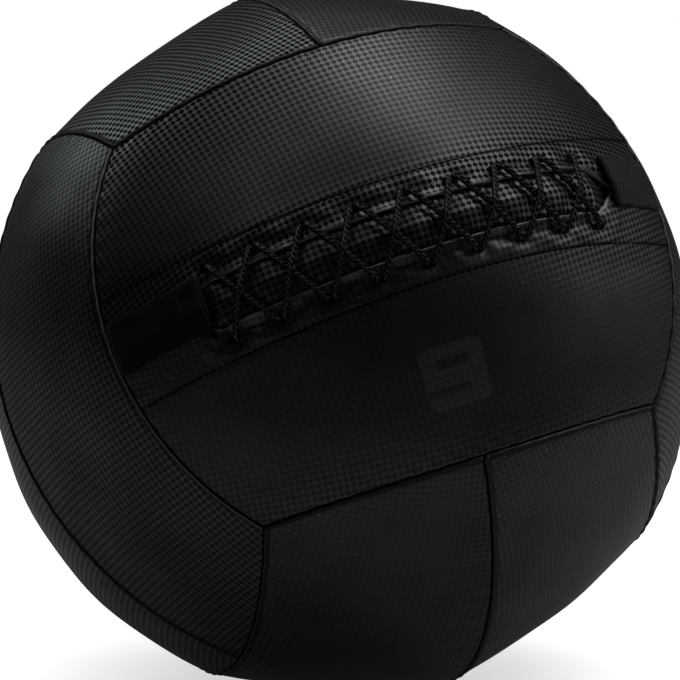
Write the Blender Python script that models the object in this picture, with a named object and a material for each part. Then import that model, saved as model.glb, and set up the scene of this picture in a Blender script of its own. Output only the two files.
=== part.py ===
"""A laced wall ball for conditioning work, 14 inches across and 9 kg, in metres with +Z up.

The ball is modelled in its own axes: X runs along the lacing, Y across it and Z out of the laced
face. One empty then lays all of it on the floor, on the small flat that its weight presses into it.

Twelve leatherette strips cover the ball, two on each of six faces. A strip lies between its face's
middle seam and one long seam, and each of its ends meets the long seam of the face beside it.
"""

import math

import bmesh
import bpy
import numpy as np
from mathutils import Euler, Vector

# The ball, over its leatherette
BALL_RADIUS = 0.178
SEAM_RISE = 0.002
PANEL_THICKNESS = 0.0026
GROOVE_DEPTH = 0.0015
GROOVE_WIDTH = 0.0025

# How far the strips of a face sink between their seams: on the face named, and on the one opposite it
PANEL_DIPS = {"front": (0.005, 0.005), "right": (0.0037, 0.0013), "top": (0.0052, 0.0048)}

# Each strip's width at its middle, and how far its long seam runs in towards the corners.
# The first value is for the top and bottom faces, then front and rear, then left and right.
STRIP_WIDTHS = (0.1199, 0.1207, 0.1082)
SEAM_BOWS = (0.0072, 0.0119, 0.0044)

# How it lies: turned about X, Y and Z, on a flat of this radius
LIE_DEGREES = (60.5, -13.0, 21.3)
REST_FLAT_RADIUS = 0.036

# The laced closure
HOLE_COUNT = 9
HOLE_PITCH = 0.027
HOLE_ROW_OFFSET = 0.0196
HOLE_CLEARANCE = 0.0012
HOLE_SLACK = 0.0019
FLAP_GAP = 0.024
GAP_RUNOUT = 0.026
FACING_DEPTH = 0.029
FACING_THICKNESS = 0.0012
FACING_RUNOUT = 0.018
TONGUE_WIDTH = 0.033
TONGUE_THICKNESS = 0.0015
TONGUE_RUNOUT = 0.028
TONGUE_LOBE = 0.0022
TONGUE_EDGE_CLEARANCE = 0.0008
TONGUE_LEAST_OPENING = 0.002

# The lace
LACE_DIAMETER = 0.003
LACE_GAP = 0.0007
LACE_BEND_RADIUS = 0.0026
LACE_SAG = 0.001
STOPPER_SCALE = 2.8

# The webbing tabs over the closure's ends
TAB_WIDTH = 0.027
TAB_OFFSET = 0.003
TAB_THICKNESS = 0.0016
TAB_FOLD = 0.012
TAB_ROUNDING = 0.0006
LEFT_TAB_CLEARANCE = 0.0045
RIGHT_TAB_CLEARANCE = 0.0155

# What fills the ball
MOUTH_MARGIN = 0.003
PADDING_SPARE = 0.0015
BALLAST_RADIUS = 0.080
BALLAST_NECK_RADIUS = 0.014
BALLAST_NECK_LENGTH = 0.022
BALLAST_SHOULDER_ANGLE = 0.24
BALLAST_THROAT_SHARE = 0.7
BALLAST_THROAT_RISE = 0.15
FILLING_SPLIT = 0.0004

# Clearances between pieces
SEAM_CLEARANCE = 0.0003
LAYER_CLEARANCE = 0.0004
PADDING_CLEARANCE = 0.0005
FLAT_CLEARANCE = 0.0008

# Facets along and across the pieces
STRIP_STEPS = (16, 4)
FLAT_STRIP_STEPS = (24, 8)
LACED_STRIP_STEPS = (28, 4)
INNER_STEPS = (8, 4)

LACE_RADIUS = LACE_DIAMETER / 2
LEG_OFFSET = (LACE_DIAMETER + LACE_GAP) / 2
HOLE_LENGTH = 2 * (LEG_OFFSET + LACE_RADIUS + HOLE_CLEARANCE)
HOLE_WIDTH = LACE_DIAMETER + 2 * HOLE_SLACK
LAST_HOLE = (HOLE_COUNT - 1) / 2 * HOLE_PITCH

# Depths below the leatherette's surface, from the flap down to the filling
FACING_TOP = PANEL_THICKNESS + LAYER_CLEARANCE
FACING_BOTTOM = FACING_TOP + FACING_THICKNESS
TONGUE_TOP = FACING_BOTTOM + LAYER_CLEARANCE
FIRST_RUNG = TONGUE_TOP + TONGUE_THICKNESS + LACE_GAP + LACE_RADIUS
SECOND_RUNG = FIRST_RUNG + LACE_DIAMETER + LACE_GAP
PADDING_TOP = PANEL_THICKNESS + PADDING_CLEARANCE
PADDING_BOTTOM = SECOND_RUNG + LACE_RADIUS + PADDING_SPARE
FILLING_TOP = PADDING_BOTTOM + LAYER_CLEARANCE

# A seam across one axis lies at this coordinate of the unit ball, at its middle and at the corners
SEAM_MIDDLE = np.sin(np.array(STRIP_WIDTHS) / BALL_RADIUS)
CORNER = np.sin((np.array(STRIP_WIDTHS) - np.array(SEAM_BOWS)) / BALL_RADIUS)
CORNER = CORNER / np.linalg.norm(CORNER)

# Each face by its name: the axis that it faces along, the axis of its strips and the axis across them
FACES = {"front": (2, 0, 1), "right": (0, 1, 2), "top": (1, 2, 0)}

LIE = Euler([math.radians(angle) for angle in LIE_DEGREES]).to_matrix()
DOWN = np.array(LIE.inverted() @ Vector((0, 0, -1)))


def seam_coordinate(axis, share):
    """Where a long seam lies across this axis, at a share of the way to its corners: a parabola."""
    return CORNER[axis] + (SEAM_MIDDLE[axis] - CORNER[axis]) * (1 - np.minimum(np.abs(share), 1) ** 2)


def relief(directions):
    """How far the leatherette lies outside the nominal ball: full at the seams, dipping inside a strip."""
    size = np.abs(directions)
    height = np.full(size.shape[:-1], SEAM_RISE)
    for face, (normal, along, across) in FACES.items():
        long_seam = seam_coordinate(across, size[..., along] / CORNER[along])
        end_seam = seam_coordinate(normal, size[..., across] / CORNER[across])
        end = np.sqrt(np.maximum(1 - end_seam ** 2 - size[..., across] ** 2, 0.01))
        width_share = np.minimum(size[..., across] / long_seam, 1)
        length_share = np.minimum(size[..., along] / end, 1)
        dip = (1 - (2 * width_share - 1) ** 2) * (1 - length_share ** 4)
        inside = (size[..., across] <= long_seam) & (size[..., normal] >= end_seam)
        deepest = np.where(directions[..., normal] > 0, *PANEL_DIPS[face])
        height = np.where(inside, SEAM_RISE - deepest * dip, height)
    return height


def rest_height():
    """The height of the ball's centre over the floor: the flat is a chord of the ball at its lowest point."""
    lowest = BALL_RADIUS + float(relief(DOWN[None])[0])
    return math.sqrt(lowest ** 2 - REST_FLAT_RADIUS ** 2)


REST_HEIGHT = rest_height()


def on_ball(directions, depth, groove=0.0, flat_depth=None):
    """Points at a depth below the leatherette, no lower than the flat that the ball rests on."""
    directions = directions / np.linalg.norm(directions, axis=-1, keepdims=True)
    radius = BALL_RADIUS + relief(directions) - depth - groove
    downwards = np.maximum(directions @ DOWN, 1e-6)
    flat = REST_HEIGHT - (depth if flat_depth is None else flat_depth)
    return directions * np.minimum(radius, flat / downwards)[..., None]


def laced_direction(along, across):
    """The direction of a place on the laced face, from its distances along and across the lacing."""
    turn, rise = np.broadcast_arrays(np.asarray(along) / BALL_RADIUS, np.asarray(across) / BALL_RADIUS)
    return np.stack([np.sin(turn) * np.cos(rise), np.sin(rise), np.cos(turn) * np.cos(rise)], axis=-1)


def laced_point(along, across, height):
    """A point on the laced face, at a height over the leatherette."""
    return on_ball(laced_direction(along, across), -np.asarray(height))


def laced_face_end(across):
    """How far along the laced face its end seam lies, at a distance across the lacing."""
    rise = across / BALL_RADIUS
    seam = seam_coordinate(2, np.sin(rise) / CORNER[1])
    return BALL_RADIUS * np.arccos(seam / np.cos(rise))


def half_gap(along):
    """Half the gap between the flaps: full as far as the last hole, then a cosine down to nothing."""
    share = np.clip((np.abs(along) - LAST_HOLE) / GAP_RUNOUT, 0, 1)
    return FLAP_GAP / 2 * (1 + np.cos(np.pi * share)) / 2


def with_margin(length, steps):
    """Shares of a length: its two ends, a groove's width in from each, and even steps between."""
    ends = np.array([SEAM_CLEARANCE / 2, SEAM_CLEARANCE / 2 + GROOVE_WIDTH]) / length
    between = np.linspace(ends[1], 1 - ends[1], steps + 1)
    return np.concatenate([[ends[0]], between, [1 - ends[0]]])


def laced_width_shares(width):
    """Shares across a laced strip from its flap's edge, close together over the facing."""
    ends = (SEAM_CLEARANCE / 2 + GROOVE_WIDTH) / width
    over_facing = (FACING_DEPTH + MOUTH_MARGIN - FLAP_GAP / 2) / width
    near = np.linspace(ends, over_facing, 4)
    far = np.linspace(over_facing, 1 - ends, 4)
    return np.concatenate([[SEAM_CLEARANCE / 2 / width], near, far[1:], [1 - SEAM_CLEARANCE / 2 / width]])


def strip_directions(face, length_shares, width_shares, laced=False):
    """Directions over one strip in its face's axes: the four edges blended as a Coons patch.

    The strip lies on the positive side of its face's middle seam. Its first edge is that seam, or the
    flap's edge on a laced strip, and the last is the long seam. The ends lie on the next face's seam.
    """
    normal, along, across = FACES[face]
    seam_turn = math.acos(SEAM_MIDDLE[normal])
    corner_turn = math.asin(CORNER[along])
    corner_rise = math.asin(CORNER[across])

    def filled(t, b):
        return np.stack([t, b, np.sqrt(1 - t ** 2 - b ** 2)], axis=-1)

    def first_edge(share):
        turn = (2 * share - 1) * seam_turn
        rise = half_gap(turn * BALL_RADIUS) / BALL_RADIUS if laced else np.zeros_like(share)
        return filled(np.sin(turn) * np.cos(rise), np.sin(rise))

    def last_edge(share):
        t = CORNER[along] * np.sin((2 * share - 1) * corner_turn) / math.sin(corner_turn)
        return filled(t, seam_coordinate(across, t / CORNER[along]))

    def end_edge(share, sign):
        b = CORNER[across] * np.sin(share * corner_rise) / math.sin(corner_rise)
        n = seam_coordinate(normal, b / CORNER[across])
        return np.stack([sign * np.sqrt(1 - b ** 2 - n ** 2), b, n], axis=-1)

    u = length_shares[:, None, None]
    v = width_shares[None, :, None]
    zero, one = np.zeros(1), np.ones(1)
    between_edges = (1 - v) * first_edge(length_shares)[:, None] + v * last_edge(length_shares)[:, None]
    between_ends = (1 - u) * end_edge(width_shares, -1)[None] + u * end_edge(width_shares, 1)[None]
    corners = (1 - v) * ((1 - u) * first_edge(zero) + u * first_edge(one))
    corners = corners + v * ((1 - u) * last_edge(zero) + u * last_edge(one))
    local = between_edges + between_ends - corners
    local = local / np.linalg.norm(local, axis=-1, keepdims=True)
    directions = np.empty_like(local)
    directions[..., along], directions[..., across], directions[..., normal] = np.moveaxis(local, -1, 0)
    return directions


def facing(face, directions, face_sign, side_sign):
    """The same strip on the opposite face, or on the other side of its middle seam."""
    normal, _, across = FACES[face]
    signs = np.ones(3)
    signs[normal] = face_sign
    signs[across] = side_sign
    return directions * signs


def new_material(name, colour, roughness, metallic=0.0):
    material = bpy.data.materials.new(name)
    material.use_nodes = True
    shader = material.node_tree.nodes["Principled BSDF"]
    shader.inputs["Base Color"].default_value = (*colour, 1.0)
    shader.inputs["Roughness"].default_value = roughness
    shader.inputs["Metallic"].default_value = metallic
    material.diffuse_color = (*colour, 1.0)
    return material


def add_object(name, data, lie, material=None):
    obj = bpy.data.objects.new(name, data)
    bpy.context.scene.collection.objects.link(obj)
    obj.parent = lie
    if material:
        data.materials.append(material)
    return obj


def add_mesh(name, points, faces, lie, material=None):
    """An object from points and faces, with its normals facing out of the closed surface."""
    mesh = bpy.data.meshes.new(name)
    mesh.from_pydata([tuple(point) for point in points], [], faces)
    work = bmesh.new()
    work.from_mesh(mesh)
    bmesh.ops.recalc_face_normals(work, faces=work.faces)
    work.to_mesh(mesh)
    work.free()
    mesh.shade_smooth()
    mesh.set_sharp_from_angle(angle=math.radians(40))
    return add_object(name, mesh, lie, material)


def grid_faces(rows, columns, first=0):
    return [
        (first + i * columns + j, first + (i + 1) * columns + j,
         first + (i + 1) * columns + j + 1, first + i * columns + j + 1)
        for i in range(rows - 1)
        for j in range(columns - 1)
    ]


def sheet_solid(outer, inner):
    """Points and faces of a closed sheet between two grids, with a wall along each of its four sides."""
    rows, columns = outer.shape[:2]
    count = rows * columns
    faces = grid_faces(rows, columns) + [face[::-1] for face in grid_faces(rows, columns, count)]
    border = [i * columns for i in range(rows)]
    border += [(rows - 1) * columns + j for j in range(1, columns)]
    border += [i * columns + columns - 1 for i in range(rows - 2, -1, -1)]
    border += list(range(columns - 2, 0, -1))
    for here, there in zip(border, border[1:] + border[:1]):
        faces.append((there, here, count + here, count + there))
    return np.concatenate([outer.reshape(-1, 3), inner.reshape(-1, 3)]), faces


def groove_over(length_shares, width_shares, length, width):
    """The depth that the leatherette turns down over a strip: all of it at the edges, none further in."""
    from_ends = np.minimum(length_shares, 1 - length_shares)[:, None] * length
    from_sides = np.minimum(width_shares, 1 - width_shares)[None, :] * width
    inwards = np.minimum(from_ends, from_sides) - SEAM_CLEARANCE / 2
    return GROOVE_DEPTH * np.clip(1 - inwards / GROOVE_WIDTH, 0, 1)


def add_panel(name, face, face_sign, side_sign, steps, lie, material, laced=False):
    """One leatherette strip, its edges turned down into the seams."""
    normal, _, across = FACES[face]
    length = 2 * BALL_RADIUS * math.acos(SEAM_MIDDLE[normal])
    width = STRIP_WIDTHS[across] - (FLAP_GAP / 2 if laced else 0)
    length_shares = with_margin(length, steps[0])
    width_shares = laced_width_shares(width) if laced else with_margin(width, steps[1])
    directions = strip_directions(face, length_shares, width_shares, laced)
    directions = facing(face, directions, face_sign, side_sign)
    groove = groove_over(length_shares, width_shares, length, width)
    outer = on_ball(directions, 0.0, groove)
    inner = on_ball(directions, PANEL_THICKNESS)
    points, faces = sheet_solid(outer, inner)
    return add_mesh(name, points, faces, lie, material)


def ball_surface(depth, steps, flat_extra=0.0):
    """Points and triangles of the whole closed ball at a depth, from its twelve strips.

    Every layer is cut into triangles along the same diagonals, so that one nests inside the next.
    """
    length_shares = np.linspace(0, 1, steps[0] + 1)
    width_shares = np.linspace(0, 1, steps[1] + 1)
    points, faces = [], []
    for face in FACES:
        directions = strip_directions(face, length_shares, width_shares)
        for face_sign in (1, -1):
            for side_sign in (1, -1):
                turned = facing(face, directions, face_sign, side_sign)
                strip = on_ball(turned, depth, flat_depth=depth + flat_extra)
                first = sum(map(len, points))
                for a, b, c, d in grid_faces(len(length_shares), len(width_shares), first):
                    faces += [(a, b, c), (a, c, d)]
                points.append(strip.reshape(-1, 3))
    return np.concatenate(points), faces


def closed_ball_mesh(depth, steps, flat_extra):
    """A bmesh of the ball at a depth, its strips sewn together along the seams."""
    points, faces = ball_surface(depth, steps, flat_extra)
    work = bmesh.new()
    vertices = [work.verts.new(point) for point in points]
    for face in faces:
        work.faces.new([vertices[index] for index in face])
    bmesh.ops.remove_doubles(work, verts=work.verts, dist=1e-6)
    bmesh.ops.recalc_face_normals(work, faces=work.faces)
    return work


def subtract(obj, cutter):
    modifier = obj.modifiers.new("cut by " + cutter.name, "BOOLEAN")
    modifier.operation = "DIFFERENCE"
    modifier.solver = "EXACT"
    modifier.object = cutter


def as_cutter(obj):
    obj.hide_render = True
    obj.display_type = "WIRE"
    return obj


def add_mouth_cutter(lie):
    """The opening in the padding behind the closure: a rounded rectangle driven in along Z."""
    half_length = BALL_RADIUS * math.sin((LAST_HOLE + TONGUE_RUNOUT + MOUTH_MARGIN) / BALL_RADIUS)
    half_width = BALL_RADIUS * math.sin((FACING_DEPTH + MOUTH_MARGIN) / BALL_RADIUS)
    corner, corner_steps = 2 * MOUTH_MARGIN, 3
    outline = []
    for turn, (x, y) in enumerate([(1, 1), (-1, 1), (-1, -1), (1, -1)]):
        centre = (x * (half_length - corner), y * (half_width - corner))
        for step in range(corner_steps + 1):
            angle = math.pi / 2 * (turn + step / corner_steps)
            outline.append((centre[0] + corner * math.cos(angle), centre[1] + corner * math.sin(angle)))
    work = bmesh.new()
    base = work.faces.new([work.verts.new((x, y, BALL_RADIUS / 2)) for x, y in outline])
    grown = bmesh.ops.extrude_face_region(work, geom=[base])
    raised = [item for item in grown["geom"] if isinstance(item, bmesh.types.BMVert)]
    bmesh.ops.translate(work, verts=raised, vec=(0, 0, BALL_RADIUS))
    bmesh.ops.recalc_face_normals(work, faces=work.faces)
    mesh = bpy.data.meshes.new("mouth_cutter")
    work.to_mesh(mesh)
    work.free()
    return as_cutter(add_object("mouth_cutter", mesh, lie))


def add_padding(lie, material):
    """The foam behind the leatherette: a hollow ball, open behind the closure."""
    outer = closed_ball_mesh(PADDING_TOP, INNER_STEPS, FLAT_CLEARANCE)
    inner = closed_ball_mesh(PADDING_BOTTOM, INNER_STEPS, FLAT_CLEARANCE)
    bmesh.ops.reverse_faces(inner, faces=inner.faces)
    hollow = bpy.data.meshes.new("padding_hollow")
    inner.to_mesh(hollow)
    inner.free()
    outer.from_mesh(hollow)
    bpy.data.meshes.remove(hollow)
    mesh = bpy.data.meshes.new("foam_padding")
    outer.to_mesh(mesh)
    outer.free()
    padding = add_object("foam_padding", mesh, lie, material)
    subtract(padding, add_mouth_cutter(lie))
    return padding


def ballast_profile(clearance):
    """Half the outline of the tied bag, as radius and height: a round body drawn in to a short neck."""
    radius = BALLAST_RADIUS + clearance
    neck = BALLAST_NECK_RADIUS + clearance
    angles = np.linspace(-math.pi / 2, math.pi / 2 - BALLAST_SHOULDER_ANGLE, 12)
    body = [(radius * math.cos(angle), radius * math.sin(angle)) for angle in angles]
    neck_top = BALLAST_RADIUS + BALLAST_NECK_LENGTH + clearance
    throat_height = BALLAST_RADIUS + clearance + BALLAST_THROAT_RISE * BALLAST_NECK_LENGTH
    throat = (neck * BALLAST_THROAT_SHARE, throat_height)
    return body + [throat, (neck, neck_top), (0.0, neck_top)]


def add_ballast(name, clearance, lie, material=None, sides=16):
    """The tied bag as a turned solid, its neck towards the closure."""
    profile = ballast_profile(clearance)
    profile[0] = (0.0, -(BALLAST_RADIUS + clearance))
    work = bmesh.new()
    vertices = [work.verts.new((radius, 0, height)) for radius, height in profile]
    edges = [work.edges.new(pair) for pair in zip(vertices, vertices[1:])]
    bmesh.ops.spin(
        work, geom=vertices + edges, cent=(0, 0, 0), axis=(0, 0, 1), angle=2 * math.pi, steps=sides
    )
    bmesh.ops.remove_doubles(work, verts=work.verts, dist=1e-6)
    bmesh.ops.recalc_face_normals(work, faces=work.faces)
    mesh = bpy.data.meshes.new(name)
    work.to_mesh(mesh)
    work.free()
    mesh.shade_smooth()
    return add_object(name, mesh, lie, material)


def add_filling(name, side, pocket, lie, material):
    """One half of the packed filling, cut flat across the ball and hollowed for the ballast bag."""
    work = closed_ball_mesh(FILLING_TOP, INNER_STEPS, FLAT_CLEARANCE)
    bmesh.ops.bisect_plane(
        work,
        geom=work.verts[:] + work.edges[:] + work.faces[:],
        plane_co=(0, 0, side * FILLING_SPLIT / 2),
        plane_no=(0, 0, -side),
        clear_outer=True,
    )
    bmesh.ops.holes_fill(work, edges=[edge for edge in work.edges if edge.is_boundary])
    bmesh.ops.recalc_face_normals(work, faces=work.faces)
    mesh = bpy.data.meshes.new(name)
    work.to_mesh(mesh)
    work.free()
    filling = add_object(name, mesh, lie, material)
    subtract(filling, pocket)
    return filling


def hole_places():
    return [(index - (HOLE_COUNT - 1) / 2) * HOLE_PITCH for index in range(HOLE_COUNT)]


def add_hole_cutter(name, side, lie, sides=8):
    """One row of lace holes, as oval posts that stand square to the leatherette."""
    points, faces = [], []
    angles = np.arange(sides) * 2 * math.pi / sides
    for place in hole_places():
        first = len(points)
        along = place + HOLE_LENGTH / 2 * np.cos(angles)
        across = side * HOLE_ROW_OFFSET + HOLE_WIDTH / 2 * np.sin(angles)
        reach = FACING_BOTTOM + PANEL_THICKNESS
        points += list(laced_point(along, across, -reach)) + list(laced_point(along, across, reach))
        faces.append(tuple(range(first + sides - 1, first - 1, -1)))
        faces.append(tuple(range(first + sides, first + 2 * sides)))
        for here in range(sides):
            there = (here + 1) % sides
            faces.append((first + here, first + there, first + sides + there, first + sides + here))
    return as_cutter(add_mesh(name, points, faces, lie))


def add_facing(name, side, lie, material):
    """The turned-in leatherette behind one flap, from the flap's edge back to the stitch line."""
    half_length = LAST_HOLE + FACING_RUNOUT
    along = np.linspace(-half_length, half_length, 25)[:, None]
    share = np.linspace(0, 1, 4)[None, :]
    near = half_gap(along) + SEAM_CLEARANCE
    across = side * (near + (FACING_DEPTH - near) * share)
    along = np.broadcast_to(along, across.shape)
    points, faces = sheet_solid(
        laced_point(along, across, -FACING_TOP), laced_point(along, across, -FACING_BOTTOM)
    )
    return add_mesh(name, points, faces, lie, material)


def tongue_opening(along):
    """Half the width over which the tongue stands up between the flaps."""
    return np.maximum(half_gap(along) - TONGUE_EDGE_CLEARANCE, TONGUE_LEAST_OPENING)


def tongue_height(along, across):
    """The tongue's height: low under the flaps, up in the gap, with a lobe between the lace's crossings."""
    edge = tongue_opening(along)
    opening = half_gap(along) / (FLAP_GAP / 2)
    lift = TONGUE_TOP - LACE_SAG - LACE_GAP
    swell = np.clip(1 - (across / edge) ** 2, 0, 1)
    step_share = (along / HOLE_PITCH + 0.5) % 1 - 0.5
    diamond = np.minimum(np.abs(step_share) + np.abs(across) / (2 * HOLE_ROW_OFFSET), 0.5)
    within = np.abs(along) < LAST_HOLE + HOLE_PITCH / 2
    lobe = np.where(within, TONGUE_LOBE * np.cos(np.pi * diamond) ** 2, 0.0)
    return -TONGUE_TOP + opening * (lift * swell + lobe * np.sqrt(swell))


def add_tongue(lie, material):
    half_length = LAST_HOLE + TONGUE_RUNOUT
    lobes = np.linspace(-LAST_HOLE - HOLE_PITCH / 2, LAST_HOLE + HOLE_PITCH / 2, 4 * HOLE_COUNT + 1)
    along = np.concatenate([[-half_length], lobes, [half_length]])[:, None]
    edge = tongue_opening(along)
    outer_edge = np.full_like(edge, TONGUE_WIDTH / 2)
    across = np.concatenate([-outer_edge, -edge, -edge / 2, 0 * edge, edge / 2, edge, outer_edge], axis=1)
    along = np.broadcast_to(along, across.shape)
    height = tongue_height(along, across)
    points, faces = sheet_solid(
        laced_point(along, across, height), laced_point(along, across, height - TONGUE_THICKNESS)
    )
    return add_mesh("closure_tongue", points, faces, lie, material)


def lace_arm(start, end, over):
    """One arm between a hole in each row: up and over the flap, across the gap, and down again.

    A place is (along, across). Both ends bend through a quarter circle that leans towards the other.
    """
    start, end = np.array(start), np.array(end)
    heading = (end - start) / np.linalg.norm(end - start)
    top = LACE_RADIUS + LACE_GAP
    crossing = top - LACE_SAG + (LACE_DIAMETER + 2 * LACE_GAP if over else 0)
    bend = []
    for angle in np.radians([0, 45, 90]):
        out = LACE_BEND_RADIUS * (1 - math.cos(angle))
        bend.append((out, top - LACE_BEND_RADIUS * (1 - math.sin(angle))))
    leaving = [(*(start + heading * out), height) for out, height in bend]
    arriving = [(*(end - heading * out), height) for out, height in reversed(bend)]
    first, last = np.array(leaving[-1][:2]), np.array(arriving[0][:2])
    middle = []
    for share in (0.25, 0.5, 0.75):
        rise = (crossing - top) * math.sin(math.pi * share) ** 2
        middle.append((*(first + (last - first) * share), top + rise))
    return leaving + middle + arriving


def lace_rung(start, end, depth):
    """One run behind the tongue between the two rows, with a bend into each leg."""
    start, end = np.array(start), np.array(end)
    heading = (end - start) / np.linalg.norm(end - start)
    third = LACE_DIAMETER / 3
    bend = [(0, LACE_DIAMETER - depth), (third, third - depth), (LACE_DIAMETER, -depth)]
    down = [(*(start + heading * out), height) for out, height in bend]
    up = [(*(end - heading * out), height) for out, height in reversed(bend)]
    middle = (*((start + end) / 2), -depth)
    return down + [middle] + up


def lace_route():
    """The whole lace: out to the right between the rows, and back over its own first pass.

    Each pass comes up through one row, crosses over to the next hole of the other row, goes in, and
    runs straight back behind the tongue. A hole holds two legs side by side, towards the holes that
    they lead to.
    """
    places = hole_places()

    def leg(index, row, side):
        return (places[index] + side * LEG_OFFSET, row * HOLE_ROW_OFFSET)

    last = HOLE_COUNT - 1
    stopper = FIRST_RUNG + LACE_RADIUS
    route = [(*leg(0, 1, 1), -stopper - LACE_DIAMETER), (*leg(0, 1, 1), -stopper)]
    for index in range(last):
        route += lace_arm(leg(index, 1, 1), leg(index + 1, -1, -1), over=False)
        side = -1 if index + 1 == last else 1
        route += lace_rung(leg(index + 1, -1, -1), leg(index + 1, 1, side), FIRST_RUNG)
    for index in range(last, 0, -1):
        route += lace_arm(leg(index, 1, -1), leg(index - 1, -1, 1), over=True)
        if index > 1:
            route += lace_rung(leg(index - 1, -1, 1), leg(index - 1, 1, -1), SECOND_RUNG)
    route += [(*leg(0, -1, 1), -stopper), (*leg(0, -1, 1), -stopper - LACE_DIAMETER)]
    return np.array(route)


def least_gap(points, radius, skip):
    """The least clear distance between stretches of a tube that are further apart along it than skip."""
    steps = np.linalg.norm(np.diff(points, axis=0), axis=1)
    fine = [points[:1]]
    for start, end, step in zip(points, points[1:], steps):
        shares = np.linspace(0, 1, max(2, int(step / 0.0005)))[1:, None]
        fine.append(start + (end - start) * shares)
    fine = np.concatenate(fine)
    reached = np.concatenate([[0], np.cumsum(np.linalg.norm(np.diff(fine, axis=0), axis=1))])
    least = np.inf
    for index in range(0, len(fine), 4):
        apart = np.abs(reached - reached[index]) > skip
        least = min(least, float(np.linalg.norm(fine[apart] - fine[index], axis=1).min()))
    return least - 2 * radius, float(reached[-1])


def add_lace(lie, material):
    """One round cord along its route, with a stopper knot behind the flap at each end."""
    route = lace_route()
    points = laced_point(route[:, 0], route[:, 1], route[:, 2])
    gap, length = least_gap(points, LACE_RADIUS, 4 * LACE_DIAMETER)
    print(f"lace: {length:.3f} m long, least gap to itself {1000 * gap:.2f} mm")
    curve = bpy.data.curves.new("lace", "CURVE")
    curve.dimensions = "3D"
    curve.bevel_depth = LACE_RADIUS
    curve.bevel_resolution = 2
    curve.use_fill_caps = True
    spline = curve.splines.new("POLY")
    spline.points.add(len(points) - 1)
    for index, point in enumerate(points):
        spline.points[index].co = (*point, 1)
    for index in (0, -1):
        spline.points[index].radius = STOPPER_SCALE
    return add_object("lace", curve, lie, material)


def add_tab(name, end, clearance, lie, material):
    """A webbing tab from the side seam towards the lacing, its free end turned under."""
    across = np.linspace(TAB_OFFSET - TAB_WIDTH / 2, TAB_OFFSET + TAB_WIDTH / 2, 5)[None, :]
    free_end = LAST_HOLE + clearance
    length = laced_face_end(across) - SEAM_CLEARANCE - free_end
    step_end = TAB_FOLD + TAB_THICKNESS
    before_groove = length - GROOVE_WIDTH
    folded = [mark + 0 * length for mark in (0, TAB_ROUNDING, TAB_FOLD / 2, TAB_FOLD)]
    single = [step_end + (before_groove - step_end) * share for share in np.linspace(0, 1, 6)]
    from_free_end = np.concatenate(folded + single + [length])
    doubled = 2 * TAB_THICKNESS + LAYER_CLEARANCE
    tops = [doubled - TAB_ROUNDING] + 3 * [doubled] + len(single) * [TAB_THICKNESS]
    tops = np.array(tops + [TAB_THICKNESS - GROOVE_DEPTH])[:, None]
    bottoms = np.where(np.arange(len(tops)) == len(tops) - 1, -GROOVE_DEPTH, 0.0)[:, None]
    along = end * (free_end + from_free_end)
    across = np.broadcast_to(across, along.shape)
    points, faces = sheet_solid(
        laced_point(along, across, LAYER_CLEARANCE + tops),
        laced_point(along, across, LAYER_CLEARANCE + bottoms),
    )
    return add_mesh(name, points, faces, lie, material)


def clear_scene():
    for obj in list(bpy.data.objects):
        bpy.data.objects.remove(obj)


def add_panels(lie):
    """The twelve strips, named by the face that they cover and by the side of it that they lie on."""
    names = {
        ("front", 1, 1): "front_upper", ("front", 1, -1): "front_lower",
        ("front", -1, 1): "rear_upper", ("front", -1, -1): "rear_lower",
        ("right", 1, 1): "right_front", ("right", 1, -1): "right_rear",
        ("right", -1, 1): "left_front", ("right", -1, -1): "left_rear",
        ("top", 1, 1): "top_right", ("top", 1, -1): "top_left",
        ("top", -1, 1): "bottom_right", ("top", -1, -1): "bottom_left",
    }
    panels = {}
    for (face, face_sign, side_sign), place in names.items():
        laced = (face, face_sign) == ("front", 1)
        holds_flat = place == "bottom_left"
        steps = LACED_STRIP_STEPS if laced else FLAT_STRIP_STEPS if holds_flat else STRIP_STEPS
        material = new_material(place + " leatherette", (0.018, 0.018, 0.020), 0.46)
        name = place + "_panel"
        panels[place] = add_panel(name, face, face_sign, side_sign, steps, lie, material, laced)
    return panels


def add_closure(panels, lie):
    """The facings, tongue, lace and tabs, and the holes through the flaps."""
    for place, side in (("upper", 1), ("lower", -1)):
        material = new_material(place + " facing leatherette", (0.016, 0.016, 0.018), 0.5)
        facing_piece = add_facing(place + "_flap_facing", side, lie, material)
        cutter = add_hole_cutter(place + "_hole_cutter", side, lie)
        subtract(facing_piece, cutter)
        subtract(panels["front_" + place], cutter)
    add_tongue(lie, new_material("tongue leatherette", (0.020, 0.020, 0.022), 0.44))
    add_lace(lie, new_material("braided lace", (0.014, 0.014, 0.015), 0.55))
    left_webbing = new_material("left webbing", (0.008, 0.008, 0.0085), 0.6)
    right_webbing = new_material("right webbing", (0.03, 0.03, 0.031), 0.6)
    add_tab("left_end_tab", -1, LEFT_TAB_CLEARANCE, lie, left_webbing)
    add_tab("right_end_tab", 1, RIGHT_TAB_CLEARANCE, lie, right_webbing)


def add_inside(lie):
    """The padding, the two halves of the filling and the ballast bag."""
    add_padding(lie, new_material("padding foam", (0.06, 0.06, 0.065), 0.9))
    add_ballast("ballast_bag", 0.0, lie, new_material("ballast canvas", (0.42, 0.37, 0.28), 0.85))
    pocket = as_cutter(add_ballast("ballast_cutter", LAYER_CLEARANCE, lie))
    for name, side in (("front_filling", 1), ("rear_filling", -1)):
        add_filling(name, side, pocket, lie, new_material(name + " textile", (0.30, 0.31, 0.33), 0.95))


def main():
    clear_scene()
    lie = bpy.data.objects.new("lie_on_floor", None)
    bpy.context.scene.collection.objects.link(lie)
    lie.rotation_euler = LIE.to_euler()
    lie.location = (0, 0, REST_HEIGHT)
    panels = add_panels(lie)
    add_closure(panels, lie)
    add_inside(lie)


main()
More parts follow.
